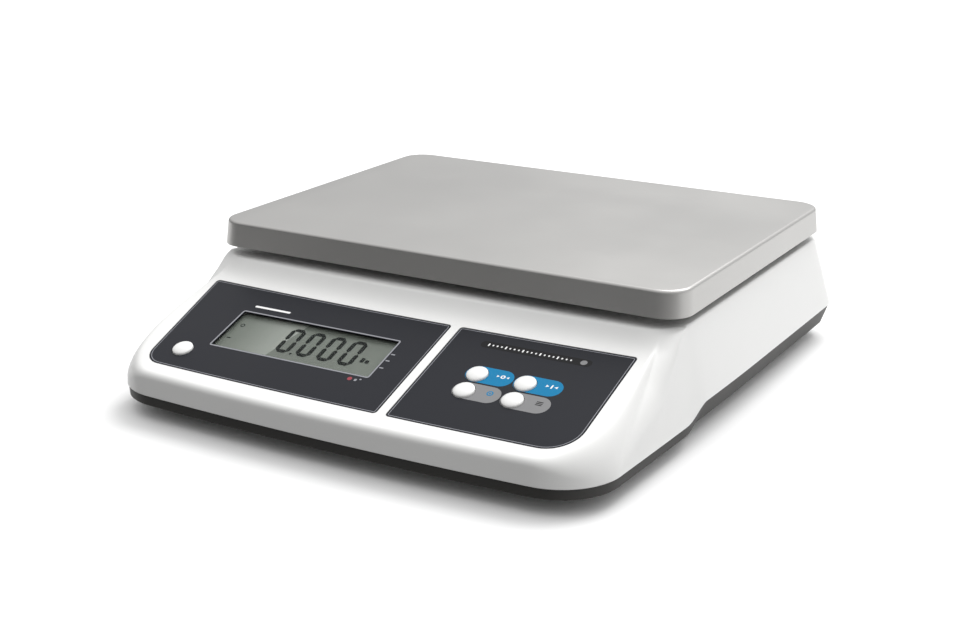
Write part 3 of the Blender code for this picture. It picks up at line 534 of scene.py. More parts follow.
def surface(name, group, detail, broad, colour, spread, roughness, bump, scales, **sockets):
    """A Principled material fed by one of the groups.

    detail and broad are the group's output names. The broad output moves the colour by its spread either way
    and the roughness over its (low, high) pair; bump is (strength, distance) for the detail output.
    """
    material = bpy.data.materials.new(name)
    material.use_nodes = True
    wiring = Wiring(material.node_tree)
    shader = material.node_tree.nodes["Principled BSDF"]
    for label, value in sockets.items():
        shader.inputs[label.replace("_", " ")].default_value = value
    skin = wiring.add("ShaderNodeGroup")
    skin.node_tree = group
    skin.inputs[0].default_value = scales[0]
    skin.inputs[1].default_value = scales[1]
    ramp = wiring.add("ShaderNodeValToRGB")
    ramp.color_ramp.elements[0].position = 0.35
    ramp.color_ramp.elements[1].position = 0.65
    ramp.color_ramp.elements[0].color = (*(c * (1 - spread) for c in colour), 1)
    ramp.color_ramp.elements[1].color = (*(min(1.0, c * (1 + spread)) for c in colour), 1)
    gloss = wiring.add("ShaderNodeMapRange")
    gloss.inputs["From Min"].default_value = 0.3
    gloss.inputs["From Max"].default_value = 0.7
    gloss.inputs["To Min"].default_value = roughness[0]
    gloss.inputs["To Max"].default_value = roughness[1]
    wiring.link(skin.outputs[broad], ramp.inputs["Fac"])
    wiring.link(ramp.outputs["Color"], shader.inputs["Base Color"])
    wiring.link(skin.outputs[broad], gloss.inputs["Value"])
    wiring.link(gloss.outputs["Result"], shader.inputs["Roughness"])
    relief = wiring.add("ShaderNodeBump")
    relief.inputs["Strength"].default_value = bump[0]
    relief.inputs["Distance"].default_value = bump[1]
    wiring.link(skin.outputs[detail], relief.inputs["Height"])
    wiring.link(relief.outputs["Normal"], shader.inputs["Normal"])
    return material


def moulded(name, colour, roughness, spread=0.04, bump=(0.12, 0.00004), scales=(1500.0, 14.0), **sockets):
    """Plastic or rubber whose colour and gloss wander a little around the given values."""
    return surface(name, MOULDED, "Height", "Mottle", colour, spread, (roughness - 0.04, roughness + 0.05),
                   bump, scales, **sockets)


def brushed(name, colour, roughness, spread=0.03, bump=(0.10, 0.00003), scales=(1.0, 9.0)):
    """Bare metal with hairlines along X."""
    return surface(name, BRUSHED, "Hair", "Cloud", colour, spread, (roughness - 0.04, roughness + 0.06),
                   bump, scales, Metallic=1.0)


GLASS_GREY = (0.205, 0.230, 0.200)
# the lighter colour of the reflection painted on the display glass
GLASS_PAINTED_REFLECTION = (0.40, 0.43, 0.39)
PAINTED_REFLECTION_X = (-0.094, -0.062)              # the painted reflection on the glass brightens between these

HOUSING_WHITE = moulded("housing white", (0.80, 0.80, 0.79), 0.36, 0.01,
                        Coat_Weight=0.10, Coat_Roughness=0.25)
TRAY_DARK = moulded("tray dark", (0.034, 0.033, 0.031), 0.52, 0.10, (0.25, 0.00006), Specular_IOR_Level=0.3)
FILM_DARK = moulded("film dark", (0.014, 0.015, 0.020), 0.42, 0.05, (0.10, 0.00003), (2600.0, 20.0),
                    Specular_IOR_Level=0.14)
INK_LIGHT = moulded("ink light", (0.27, 0.275, 0.30), 0.40, 0.03, Specular_IOR_Level=0.25)
INK_WHITE = moulded("ink white", (0.80, 0.80, 0.80), 0.40, 0.03)
INK_BLUE = moulded("ink blue", (0.003, 0.18, 0.37), 0.38, 0.04, Specular_IOR_Level=0.12)
INK_GREY = moulded("ink grey", (0.22, 0.22, 0.225), 0.38, 0.04, Specular_IOR_Level=0.12)
INK_BLACK = moulded("ink black", (0.004, 0.004, 0.005), 0.40, 0.10, Specular_IOR_Level=0.15)
INK_RED = moulded("ink red", (0.30, 0.040, 0.055), 0.40, 0.04, Specular_IOR_Level=0.25)
KEY_WHITE = moulded("key white", (0.82, 0.82, 0.81), 0.28, 0.01, Coat_Weight=0.3, Coat_Roughness=0.12)
LCD_GLASS = moulded("display glass", GLASS_GREY, 0.35, 0.07, (0.02, 0.00002), (900.0, 26.0),
                    Specular_IOR_Level=0.2)
LCD_INK = moulded("display segments", (0.003, 0.006, 0.005), 0.40, 0.10, Specular_IOR_Level=0.1)
STAINLESS = brushed("brushed stainless", (0.42, 0.415, 0.405), 0.36, 0.02)
CAST_METAL = moulded("cast aluminium", (0.50, 0.51, 0.52), 0.52, 0.05, (0.6, 0.0002), (420.0, 30.0),
                     Metallic=1.0)
MACHINED = brushed("machined aluminium", (0.68, 0.68, 0.70), 0.30, 0.04, (0.12, 0.00004), (0.6, 20.0))
PLATED = brushed("zinc plating", (0.60, 0.60, 0.57), 0.30, 0.06, (0.10, 0.00003), (0.8, 60.0))
RUBBER = moulded("rubber", (0.022, 0.022, 0.022), 0.78, 0.12, (0.3, 0.00008), (1100.0, 40.0))
BLACK_PLASTIC = moulded("black plastic", (0.016, 0.016, 0.017), 0.42, 0.10, (0.2, 0.00005))
BOARD_GREEN = moulded("circuit board", (0.012, 0.10, 0.035), 0.40, 0.12, (0.1, 0.00003), (500.0, 60.0))
SHEATH = moulded("cable sheath", (0.02, 0.02, 0.02), 0.55, 0.08)
LEAD_RED = moulded("lead red", (0.40, 0.018, 0.015), 0.48, 0.08)
BATTERY_CASE = moulded("battery case", (0.05, 0.05, 0.055), 0.50, 0.08, (0.3, 0.0001), (300.0, 20.0))


def make_clear(name):
    """Thin clear plastic: mostly see-through, with a soft gloss."""
    material = moulded(name, (0.03, 0.035, 0.03), 0.15, 0.02, (0.02, 0.00002), Specular_IOR_Level=0.3)
    material.node_tree.nodes["Principled BSDF"].inputs["Alpha"].default_value = 0.10
    return material


CLEAR = make_clear("clear window")


def make_painted_reflection(name, dull, bright):
    """Display glass with a painted reflection that grows brighter along X and stops at a hard edge."""
    material = moulded(name, dull, 0.35, 0.07, (0.02, 0.00002), (900.0, 26.0), Specular_IOR_Level=0.2)
    wiring = Wiring(material.node_tree)
    spot = wiring.add("ShaderNodeTexCoord")
    split = wiring.add("ShaderNodeSeparateXYZ")
    along = wiring.add("ShaderNodeMapRange")
    along.inputs["From Min"].default_value = PAINTED_REFLECTION_X[0]
    along.inputs["From Max"].default_value = PAINTED_REFLECTION_X[1]
    ramp = wiring.add("ShaderNodeValToRGB")
    ramp.color_ramp.elements[0].color = (*dull, 1)
    ramp.color_ramp.elements[1].color = (*bright, 1)
    wiring.link(spot.outputs["Object"], split.inputs["Vector"])
    wiring.link(split.outputs["X"], along.inputs["Value"])
    wiring.link(along.outputs["Result"], ramp.inputs["Fac"])
    wiring.link(ramp.outputs["Color"], material.node_tree.nodes["Principled BSDF"].inputs["Base Color"])
    return material


# material of the reflection painted on the display glass
LCD_PAINTED_REFLECTION = make_painted_reflection("display painted reflection", GLASS_GREY, GLASS_PAINTED_REFLECTION)

SCREWS = [name for name in NODES if "screw" in name and "foot" not in name]

# The CAD nodes that stay as they are, by the material that they show.
CAD_LOOKS = {
    TRAY_DARK: ["battery_cover"],
    BLACK_PLASTIC: ["level_cup"] + [name for name in NODES if name.endswith("_switch")],
    LCD_GLASS: ["lcd_module"],
    CLEAR: ["lcd_window", "level_vial"],
    BOARD_GREEN: ["display_board", "key_board"],
    FILM_DARK: ["key_ribbon"],
    CAST_METAL: ["deck_frame"],
    MACHINED: ["deck_spacer", "load_cell", "cell_pedestal"],
    PLATED: ["dc_jack_nut", "overload_stop"] + SCREWS,
    RUBBER: [name for name in NODES if name.startswith("platter_buffer")],
    SHEATH: ["load_cell_cable", "jack_lead"],
    LEAD_RED: ["battery_lead"],
    BATTERY_CASE: ["battery"],
}
for look, names in CAD_LOOKS.items():
    for name in names:
        NODES[name].data.materials.clear()
        NODES[name].data.materials.append(look)


# ---------------------------------------------------------------- housing and tray

LEDGE = 0.005
POST_BOTTOM = 0.0150
POST_RADIUS = 0.0045
POST_PLACES = ((-0.120, -0.080), (0.120, -0.080), (-0.137, 0.148), (0.137, 0.148))
SCREW_HOLE = 0.0018
SEAM_EDGE = 0.0004
TRAY_INSET = 0.0007
TRAY_DRAFT = (0.0003, 0.0045)
TRAY_CAP = 0.030
FOOT_PLACES = {"front_left": (-0.118, -0.132), "front_right": (0.118, -0.132),
               "rear_left": (-0.118, 0.132), "rear_right": (0.118, 0.132)}
BOSS_RADIUS = 0.0078
BOSS_TOP = 0.0235
STUD_HOLE = 0.0042
PLATTER_Y = (PLATTER_LOW[1] + PLATTER_HIGH[1]) / 2
CELL_SCREWS = (-0.0575, -0.0425)
CELL_HOLE = 0.0033
DECK_OPENING = 0.021
DECK_OPENING_X = 0.050
LEVEL_AT = (0.112, 0.020)
LEVEL_HOLE = 0.0093
BATTERY_LOW, BATTERY_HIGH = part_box("battery")
COVER_SCREW_REACH = 0.057
REAR_LEAN = math.atan((REAR_Y - RIM_REAR_Y) / (RIM_TOP - SEAM_FRONT - SEAM_RISE))
JACK_X = 0.100
JACK_Z = 0.040
JACK_RADIUS = 0.0058
JACK_BORE = 0.0032
THROUGH = (-0.008, 0.010)               # heights off the panel between which a cut goes right through
ABOVE = 0.05                            # over all of the tray's parts, and under the deck
DECK_CLEAR = 0.08
POST_HOLE_TOP = 0.0273
COVER_POST_TOP = 0.0210
COVER_HOLE_TOP = 0.0203
BAY_GAP = 0.001
WINDOW_CORNER = 0.0006

WINDOW_LOW = (-0.1020, -0.0250)
WINDOW_HIGH = (0.0050, 0.0080)
KEYS = {"power_key": (-0.1158, -0.0338), "key_upper_left": (0.0622, -0.0057),
        "key_upper_right": (0.0910, -0.0057), "key_lower_left": (0.0622, -0.0201),
        "key_lower_right": (0.0910, -0.0201)}
KEY_RADIUS = 0.0060
KEY_HOLE = 0.0063
FILM_BEND = 0.0019
FILM_BEND_HALF = 0.139
FILM_DEPTH = (-0.0009, -0.0001)
FILMS = {
    "display": (((-0.1331, -0.0512), (0.0262, -0.0512), (0.0262, 0.0297), (-0.1396, 0.0297)),
                (0.012, 0.002, 0.002, 0.002)),
    "keypad": (((0.0322, -0.0512), (0.1380, -0.0512), (0.1380, 0.0297), (0.0322, 0.0297)),
               (0.002, 0.018, 0.002, 0.002)),
}


def film_loop(name, grow=0.0):
    """Outline of a console film, bent to follow the housing's bowed front."""
    corners, radii = FILMS[name]
    middle = sum(x for x, v in corners) / 4
    moved = [(x + grow * math.copysign(1, x - middle), v + grow * math.copysign(1, v)) for x, v in corners]
    loop = rounded_outline(moved, [max(radius + grow, 0.0006) for radius in radii])
    return [(x, v + FILM_BEND * (x / FILM_BEND_HALF) ** 2) for x, v in loop]


def mirrored(columns):
    """Add the left half to columns that run from the middle of the front to the middle of the rear."""
    left = [[Vector((-p.x, p.y, p.z)) for p in column] for column in columns[1:-1]]
    return columns + left[::-1]


def loft_mesh(columns):
    """Close a ring of columns into a solid, capped at the bottom and the top."""
    bm = bmesh.new()
    grid = [[bm.verts.new(p) for p in column] for column in columns]
    for here, after in zip(grid, grid[1:] + grid[:1]):
        for k in range(len(here) - 1):
            bm.faces.new((here[k], after[k], after[k + 1], here[k + 1]))
    for end in (0, -1):
        cap = bm.faces.new([column[end] for column in grid])
        bmesh.ops.triangulate(bm, faces=[cap])
    return finish_mesh(bm, "loft")


def rim_inward(columns, k):
    """Inward direction of the rim outline at one column."""
    if k in (0, len(columns) - 1):
        return Vector((0, 1 if k == 0 else -1))
    along = columns[k + 1][1] - columns[k - 1][1]
    return Vector((-along.y, along.x)).normalized()


def shell_solid(inset, rows, fine):
    """The outside of the housing, or with an inset its inside, as a closed solid."""
    columns = outline_columns(inset, fine)
    solid = []
    for k, (seam, rim, inward) in enumerate(columns):
        profile = column_profile(seam, rim, inward, inset)
        if inset:
            solid.append([Vector((*seam, BASE_FLOOR))] + resample(profile, rows))
            continue
        profile = resample(round_off(profile, rim_inward(columns, k)), rows)
        ledge = seam + inward * LEDGE
        low = profile[0].z
        profile[0] = profile[0] + Vector((0, 0, SEAM_EDGE))
        solid.append([Vector((*ledge, POST_BOTTOM)), Vector((*ledge, low)),
                      Vector((*(seam + inward * SEAM_EDGE), low))] + profile)
    return loft_mesh(mirrored(solid))


def jack_matrix():
    """Local +Z points straight out of the leaning rear wall."""
    y = REAR_Y - (JACK_Z - SEAM_FRONT - SEAM_RISE) * math.tan(REAR_LEAN)
    return Matrix.Translation((JACK_X, y, JACK_Z)) @ Matrix.Rotation(REAR_LEAN - math.radians(90), 4, "X")


def build_housing():
    """The white upper shell, with its posts, console recesses and openings."""
    cavity = carve(shell_solid(WALL, 24, 1),
                   [cylinder_mesh(POST_RADIUS, 0.0, RIM_TOP, 24, spot) for spot in POST_PLACES])
    cuts = [outline_plate([film_loop(name, GAP)], -RECESS, 0.010, panel_matrix()) for name in FILMS]
    window = rectangle(WINDOW_LOW, WINDOW_HIGH, 0.0005, 0.0016)
    cuts.append(outline_plate([window], *THROUGH, panel_matrix()))
    cuts += [placed(cylinder_mesh(KEY_HOLE, *THROUGH, 48, spot), panel_matrix()) for spot in KEYS.values()]
    cuts += [cylinder_mesh(SCREW_HOLE, 0.0, POST_HOLE_TOP, 20, spot) for spot in POST_PLACES]
    reach = DECK_OPENING
    cuts.append(box_mesh((DECK_OPENING_X - reach, PLATTER_Y - reach, ABOVE),
                         (DECK_OPENING_X + reach, PLATTER_Y + reach, DECK_CLEAR), 0.006))
    cuts.append(cylinder_mesh(LEVEL_HOLE, ABOVE, DECK_CLEAR, 48, LEVEL_AT))
    cuts.append(placed(cylinder_mesh(JACK_RADIUS + GAP, -0.02, 0.02, 48), jack_matrix()))
    shell = carve(carve(shell_solid(0.0, 60, 3), [cavity]), cuts)
    piece("housing_shell", resmooth(shell), HOUSING_WHITE, "base", ["top_housing"])


def tray_solid(inset, low):
    """The base tray's outside, or with an inset its hollow, from height low upwards."""
    columns = []
    for seam, rim, inward in outline_columns(0.0, 2):
        rear = ease((seam.y - NOTCH[0]) / (NOTCH[1] - NOTCH[0]))
        top = seam + inward * (TRAY_INSET + inset)
        foot = top + inward * mix(*TRAY_DRAFT, rear)
        height = seam_height(seam.y) - GAP
        if inset:
            columns.append([Vector((*foot, low)), Vector((*top, height)), Vector((*top, TRAY_CAP + 0.005))])
        else:
            ledge = seam + inward * (TRAY_INSET + LEDGE)
            lift = foot + (top - foot) * SEAM_EDGE / (height - low)
            columns.append([Vector((*(foot + inward * SEAM_EDGE), low)), Vector((*lift, low + SEAM_EDGE)),
                            Vector((*top, height)), Vector((*ledge, height)), Vector((*ledge, TRAY_CAP))])
    return loft_mesh(mirrored(columns))


def build_tray():
    """The dark base tray, with its bosses, holes and battery opening."""
    middle = ((BATTERY_LOW[0] + BATTERY_HIGH[0]) / 2, (BATTERY_LOW[1] + BATTERY_HIGH[1]) / 2)
    covers = [(middle[0], middle[1] - COVER_SCREW_REACH), (middle[0], middle[1] + COVER_SCREW_REACH)]
    keep = [cylinder_mesh(BOSS_RADIUS, 0.0, BOSS_TOP, 32, spot) for spot in FOOT_PLACES.values()]
    keep += [cylinder_mesh(POST_RADIUS, 0.0, POST_BOTTOM - GAP, 24, spot) for spot in POST_PLACES]
    keep += [cylinder_mesh(POST_RADIUS, 0.0, COVER_POST_TOP, 24, spot) for spot in covers]
    cuts = [cylinder_mesh(STUD_HOLE, 0.0, ABOVE, 32, spot) for spot in FOOT_PLACES.values()]
    cuts += [cylinder_mesh(SCREW_HOLE, 0.0, ABOVE, 20, spot) for spot in POST_PLACES]
    cuts += [cylinder_mesh(SCREW_HOLE, 0.0, COVER_HOLE_TOP, 20, spot) for spot in covers]
    cuts += [cylinder_mesh(CELL_HOLE, 0.0, ABOVE, 24, (x, PLATTER_Y)) for x in CELL_SCREWS]
    cuts.append(box_mesh((BATTERY_LOW[0] - BAY_GAP, BATTERY_LOW[1] - BAY_GAP, 0.0),
                         (BATTERY_HIGH[0] + BAY_GAP, BATTERY_HIGH[1] + BAY_GAP, ABOVE), 0.004))
    tray = carve(tray_solid(0.0, TRAY_LOW[2]), [carve(tray_solid(WALL, BASE_FLOOR), keep)])
    piece("base_tray", resmooth(carve(tray, cuts)), TRAY_DARK, "base", ["base_shell"])


build_housing()
build_tray()


# ---------------------------------------------------------------- platter, keys, feet and socket

PLATTER_CORNER = 0.016
PLATTER_FLARE = 0.0012
PLATTER_SHEET = 0.0012
PLATTER_EDGE = 0.0020
STUD_RADIUS = 0.0039
THREAD_TOP = 0.0226
THREAD_PITCH = 0.00115
THREAD_DEPTH = 0.0005
THREAD_TURNS = 12
WHEEL_RIBS = 36


def build_platter():
    """Pressed steel tray, open below, with a slightly flared skirt and a soft upper edge."""
    low = Vector((PLATTER_LOW[0] + PLATTER_FLARE, PLATTER_LOW[1] + PLATTER_FLARE, PLATTER_LOW[2]))
    high = Vector((PLATTER_HIGH[0] - PLATTER_FLARE, PLATTER_HIGH[1] - PLATTER_FLARE, PLATTER_HIGH[2]))
    bm = bmesh.new()
    bm.from_mesh(box_mesh(low, high, PLATTER_CORNER, 18))
    bmesh.ops.delete(bm, geom=[f for f in bm.faces if f.normal.z < -0.9], context="FACES_ONLY")
    middle = (low + high) / 2
    for vert in bm.verts:
        if vert.co.z < low.z + 1e-5:
            vert.co.x = middle.x + (vert.co.x - middle.x) * (1 + PLATTER_FLARE / (high.x - middle.x))
            vert.co.y = middle.y + (vert.co.y - middle.y) * (1 + PLATTER_FLARE / (high.y - middle.y))
    rim = [e for e in bm.edges if all(v.co.z > high.z - 1e-5 for v in e.verts)]
    bmesh.ops.bevel(bm, geom=rim, offset=PLATTER_EDGE, segments=6, profile=0.5, affect="EDGES")
    bmesh.ops.recalc_face_normals(bm, faces=bm.faces)
    if max(bm.faces, key=lambda f: f.calc_area()).normal.z < 0:
        bmesh.ops.reverse_faces(bm, faces=bm.faces)
    sheet = bpy.data.meshes.new("platter_sheet")
    bm.to_mesh(sheet)
    bm.free()
    holder = helper(sheet)
    thick = holder.modifiers.new("sheet", "SOLIDIFY")
    thick.thickness = PLATTER_SHEET
    thick.offset = -1
    thick.use_even_offset = True
    graph = bpy.context.evaluated_depsgraph_get()
    solid = bpy.data.meshes.new_from_object(holder.evaluated_get(graph))
    bpy.data.objects.remove(holder)
    piece("platter_tray", resmooth(solid), STAINLESS, "platter", ["platter"])


def build_keys():
    """Domed caps with a stem and a flange behind the housing wall."""
    dome = [(KEY_RADIUS * math.sin(math.radians(a)), 0.0004 + 0.0018 * math.cos(math.radians(a)))
            for a in range(0, 91, 6)]
    below = [(KEY_RADIUS, -0.0029), (KEY_RADIUS + 0.0010, -0.0030), (KEY_RADIUS + 0.0010, -0.0040),
             (0.0020, -0.0042), (0.0018, -0.0074), (0.0, -0.0075)]
    for name, (x, v) in KEYS.items():
        cap = placed(turned_mesh(dome + below, 64), panel_matrix(x, v))
        piece(name + "_cap", cap, KEY_WHITE, name, [name])


def build_feet():
    """Rubber pads and threaded studs with a ribbed thumbwheel."""
    pad = [(0.0026, 0.0042), (0.0105, 0.0042), (0.0116, 0.0038), (0.0124, 0.0030), (0.0125, 0.0026),
           (0.0125, 0.0008), (0.0123, 0.0003), (0.0118, 0.0), (0.0098, 0.0), (0.0094, 0.0005),
           (0.0082, 0.0005), (0.0078, 0.0), (0.0, 0.0), (0.0, 0.0016), (0.0026, 0.0016), (0.0026, 0.0042)]
    thread = []
    for k in range(THREAD_TURNS):
        thread += [(STUD_RADIUS, THREAD_TOP - THREAD_PITCH * k),
                   (STUD_RADIUS - THREAD_DEPTH, THREAD_TOP - THREAD_PITCH * (k + 0.5))]
    stud = [(0.0, 0.0240), (0.0031, 0.0240)] + thread + [
        (STUD_RADIUS, 0.0086), (0.0104, 0.0086), (0.0110, 0.0084), (0.0110, 0.0048), (0.0104, 0.0046),
        (0.0022, 0.0046), (0.0022, 0.0019), (0.0, 0.0019)]
    rib = box_mesh((0.0106, -0.00035, 0.0050), (0.01145, 0.00035, 0.0082), 0.0002, 2)
    for name, (x, y) in FOOT_PLACES.items():
        place = Matrix.Translation((x, y, 0))
        piece("pad_" + name, placed(turned_mesh(pad, 64), place), RUBBER, "foot_pad_" + name,
              ["foot_pad_" + name])
        ribs = []
        for k in range(WHEEL_RIBS):
            ribs.append(placed(rib.copy(), Matrix.Rotation(math.tau * k / WHEEL_RIBS, 4, "Z")))
        wheel = placed(joined([turned_mesh(stud, 64)] + ribs), place)
        piece("wheel_" + name, wheel, BLACK_PLASTIC, "foot_screw_" + name,
              ["foot_screw_" + name])


def build_jack():
    """Round supply socket with its centre pin."""
    profile = [(0.0, -0.0017), (0.0006, -0.0015), (0.0010, -0.0019), (0.0010, -0.0090),
               (JACK_BORE, -0.0090), (JACK_BORE, -0.0008), (JACK_BORE + GAP, -0.0005),
               (JACK_RADIUS - 0.0004, -0.0004), (JACK_RADIUS, -0.0008), (JACK_RADIUS, -0.0120),
               (0.0, -0.0120)]
    piece("supply_socket", placed(turned_mesh(profile, 64), jack_matrix()), BLACK_PLASTIC, "base",
          ["dc_jack"])


build_platter()
build_keys()
build_feet()
build_jack()


# ---------------------------------------------------------------- console films and their prints

PRINT_SINK = 0.00004
PRINT_RISE = 0.00003
LINE_INSET = 0.0009
LINE_WIDTH = 0.00035
PILL_RADIUS = 0.0066
PILL_RIGHT = 0.0212
PILL_LIFT = 0.0005
ICON_SHIFT = (0.0146, 0.0013)
RULE_V = 0.0196


def printed(name, loops, material, level=0):
    """A thin print on the films; a higher level lies on top of a lower one."""
    top = FILM_DEPTH[1] + PRINT_RISE * (level + 1)
    mesh = outline_plate(loops, FILM_DEPTH[1] - PRINT_SINK, top, panel_matrix())
    return piece(name, mesh, material, "base")


def moved(loops, x, v):
    return [[(a + x, b + v) for a, b in loop] for loop in loops]


def triangle(x, v, size, facing):
    back = x - facing * size / 2
    return [(x + facing * size / 2, v), (back, v + size / 2), (back, v - size / 2)]


def arrows(reach, size):
    """Two small triangles that point at each other."""
    return [triangle(-reach, 0, size, 1), triangle(reach, 0, size, -1)]


def bar(x, v, width, height):
    low = (x - width / 2, v - height / 2)
    high = (x + width / 2, v + height / 2)
    return rectangle(low, high, min(width, height) * 0.3)


def build_films():
    """The dark films with their openings and thin border lines."""
    openings = {"display": [rectangle(WINDOW_LOW, WINDOW_HIGH, WINDOW_CORNER)], "keypad": []}
    for x, v in KEYS.values():
        openings["display" if x < 0 else "keypad"].append(circle(x, v, KEY_HOLE))
    for name, holes in openings.items():
        mesh = outline_plate([film_loop(name)] + holes, *FILM_DEPTH, panel_matrix())
        piece(name + "_film", mesh, FILM_DARK, "base", [name + "_overlay"])
        line = [film_loop(name, -LINE_INSET), film_loop(name, -LINE_INSET - LINE_WIDTH)]
        printed(name + "_border", line, INK_LIGHT)


def build_display_prints():
    """Window border, scale ticks, status dots and a plain bar beside the display."""
    printed("window_border", [rectangle(WINDOW_LOW, WINDOW_HIGH, WINDOW_CORNER, 0.0010),
                              rectangle(WINDOW_LOW, WINDOW_HIGH, WINDOW_CORNER, 0.0001)], INK_LIGHT)
    ticks = [bar(0.0080, v, 0.0026, 0.0009) for v in (-0.0036, -0.0094, -0.0159)]
    printed("window_ticks", ticks, INK_LIGHT)
    printed("status_dot", [circle(-0.0040, -0.0292, 0.0014, 24)], INK_RED)
    marks = [bar(-0.0002, -0.0294, 0.0016, 0.0018), bar(0.0024, -0.0282, 0.0012, 0.0010)]
    printed("status_mark", marks, INK_LIGHT)
    printed("plain_bar", [bar(-0.0860, 0.0142, 0.0250, 0.0016)], INK_WHITE)


def build_keypad_prints():
    """Black bar with a rule of ticks, and the pill shapes with a small icon at each key."""
    printed("rule_bar", [rectangle((0.0507, RULE_V - 0.0028), (0.1172, RULE_V + 0.0028), 0.0028)], INK_BLACK)
    ticks = [bar(0.0556 + 0.0026 * k, RULE_V, 0.0009, 0.0022 if k % 4 == 0 else 0.0012) for k in range(20)]
    printed("rule_ticks", ticks, INK_WHITE, 1)
    printed("rule_dot", [circle(0.1125, RULE_V, 0.0019, 32)], INK_GREY, 1)
    ring = [circle(0, 0, 0.0014, 24), circle(0, 0, 0.0007, 24)]
    target = [circle(0, 0, 0.0019, 28), circle(0, 0, 0.0012, 28), circle(0, 0, 0.0006, 16)]
    icons = {
        "key_upper_left": (INK_BLUE, INK_WHITE, ring + arrows(0.0028, 0.0016)),
        "key_upper_right": (INK_BLUE, INK_WHITE, [bar(0, 0, 0.0009, 0.0030)] + arrows(0.0024, 0.0018)),
        "key_lower_left": (INK_GREY, INK_BLUE, target),
        "key_lower_right": (INK_GREY, INK_BLACK, [bar(0, v, 0.0038, 0.0006) for v in (-0.0012, 0.0, 0.0012)]),
    }
    for name, (field, mark, loops) in icons.items():
        x, v = KEYS[name]
        v += PILL_LIFT
        pill = rectangle((x - PILL_RADIUS - GAP, v - PILL_RADIUS), (x + PILL_RIGHT, v + PILL_RADIUS),
                         PILL_RADIUS)
        printed(name + "_pill", [pill, circle(x, v - PILL_LIFT, KEY_HOLE)], field)
        printed(name + "_icon", moved(loops, x + ICON_SHIFT[0], v + ICON_SHIFT[1]), mark, 1)


build_films()
build_display_prints()
build_keypad_prints()


# ---------------------------------------------------------------- display

LCD_TOP = -0.0029                       # heights off the panel
WINDOW_TOP = -0.0013
GLASS_RISE = 0.00004
DIGITS_X = (-0.0648, -0.0508, -0.0368, -0.0228)
DIGIT_SIZE = (0.0099, 0.0222)
DIGIT_V = -0.0172
STROKE = 0.0027
STROKE_GAP = 0.0001
POINT_X = -0.0530
PAINTED_REFLECTION_LOW = (-0.0688, -0.0290)          # the two ends of the painted reflection's hard edge
PAINTED_REFLECTION_HIGH = (-0.0570, 0.0118)


def stroke(start, end):
    """One display segment: a bar with pointed ends, a little short of its end points."""
    start = Vector(start)
    end = Vector(end)
    along = (end - start).normalized()
    across = Vector((-along.y, along.x)) * STROKE / 2
    start += along * STROKE_GAP
    end -= along * STROKE_GAP
    a = start + along * STROKE / 2
    b = end - along * STROKE / 2
    return [tuple(p) for p in (start, a - across, b - across, end, b + across, a + across)]


def zero(x):
    """The six strokes of a nought, from its lower left corner."""
    half = STROKE / 2
    left, right = x + half, x + DIGIT_SIZE[0] - half
    low, high = DIGIT_V + half, DIGIT_V + DIGIT_SIZE[1] - half
    middle = (low + high) / 2
    corners = [(left, low), (right, low), (right, middle), (right, high), (left, high), (left, middle)]
    return [stroke(a, b) for a, b in zip(corners, corners[1:] + corners[:1])]


def on_glass(name, loops, material, level=0):
    mesh = outline_plate(loops, LCD_TOP - GLASS_RISE, LCD_TOP + GLASS_RISE * (level + 1), panel_matrix())
    return piece(name, mesh, material, "base")


def build_display():
    """Digits, small marks, a painted hard-edged reflection and a dark ring of painted shadow round the glass.
    """
    left = WINDOW_LOW[0] - 0.002
    # a lighter plate on the glass paints the reflection, up to a hard edge
    painted_reflection = [(left, PAINTED_REFLECTION_LOW[1]), PAINTED_REFLECTION_LOW, PAINTED_REFLECTION_HIGH, (left, PAINTED_REFLECTION_HIGH[1])]
    on_glass("display_painted_reflection", [painted_reflection], LCD_PAINTED_REFLECTION)
    digits = [loop for x in DIGITS_X for loop in zero(x)]
    on_glass("display_digits", digits + [circle(POINT_X, DIGIT_V + 0.0006, 0.0008, 20)], LCD_INK, 1)
    on_glass("display_unit", [bar(-0.0086, -0.0100, 0.0024, 0.0040), bar(-0.0054, -0.0106, 0.0024, 0.0028)],
             LCD_INK, 1)
    on_glass("display_icons", [circle(-0.0976, -0.0012, 0.0015, 28), circle(-0.0976, -0.0012, 0.0009, 28),
                               bar(-0.0985, -0.0138, 0.0030, 0.0008)], LCD_INK, 1)
    # a dark ring under the film's edge paints the shadow inside the window's edge
    shade_ring = [rectangle(WINDOW_LOW, WINDOW_HIGH, WINDOW_CORNER, 0.0011),
              rectangle(WINDOW_LOW, WINDOW_HIGH, WINDOW_CORNER)]
    mesh = outline_plate(shade_ring, WINDOW_TOP + 0.00005, FILM_DEPTH[0] - 0.00005, panel_matrix())
    piece("window_shade_ring", mesh, INK_BLACK, "base")


build_display()


# ---------------------------------------------------------------- camera, light and floor

CAMERA_AT = (0.45833, -0.79628, 0.33268)
CAMERA_TILT = 71.819
CAMERA_TURN = 30.366
FOCAL_LENGTH = 59.397                   # millimetres, as is the sensor's width
SENSOR_WIDTH = 36
SKY_SLOPE = (0.19, 0.36, 0.0)           # how the sky's strength rises towards the right and the back
SKY_RISE = 1.03                         # and towards straight above
SKY_LEVEL = 0.42
FLOOR_HALF = 8.0
FLAG_HALF = 3.0
FLAG_REACH = 3.2
FLAG_STRENGTH = 0.26


def add_camera():
    lens = bpy.data.cameras.new("camera")
    lens.lens = FOCAL_LENGTH
    lens.sensor_width = SENSOR_WIDTH
    camera = bpy.data.objects.new("camera", lens)
    camera.location = CAMERA_AT
    camera.rotation_euler = (math.radians(CAMERA_TILT), 0, math.radians(CAMERA_TURN))
    bpy.context.scene.collection.objects.link(camera)
    bpy.context.scene.camera = camera


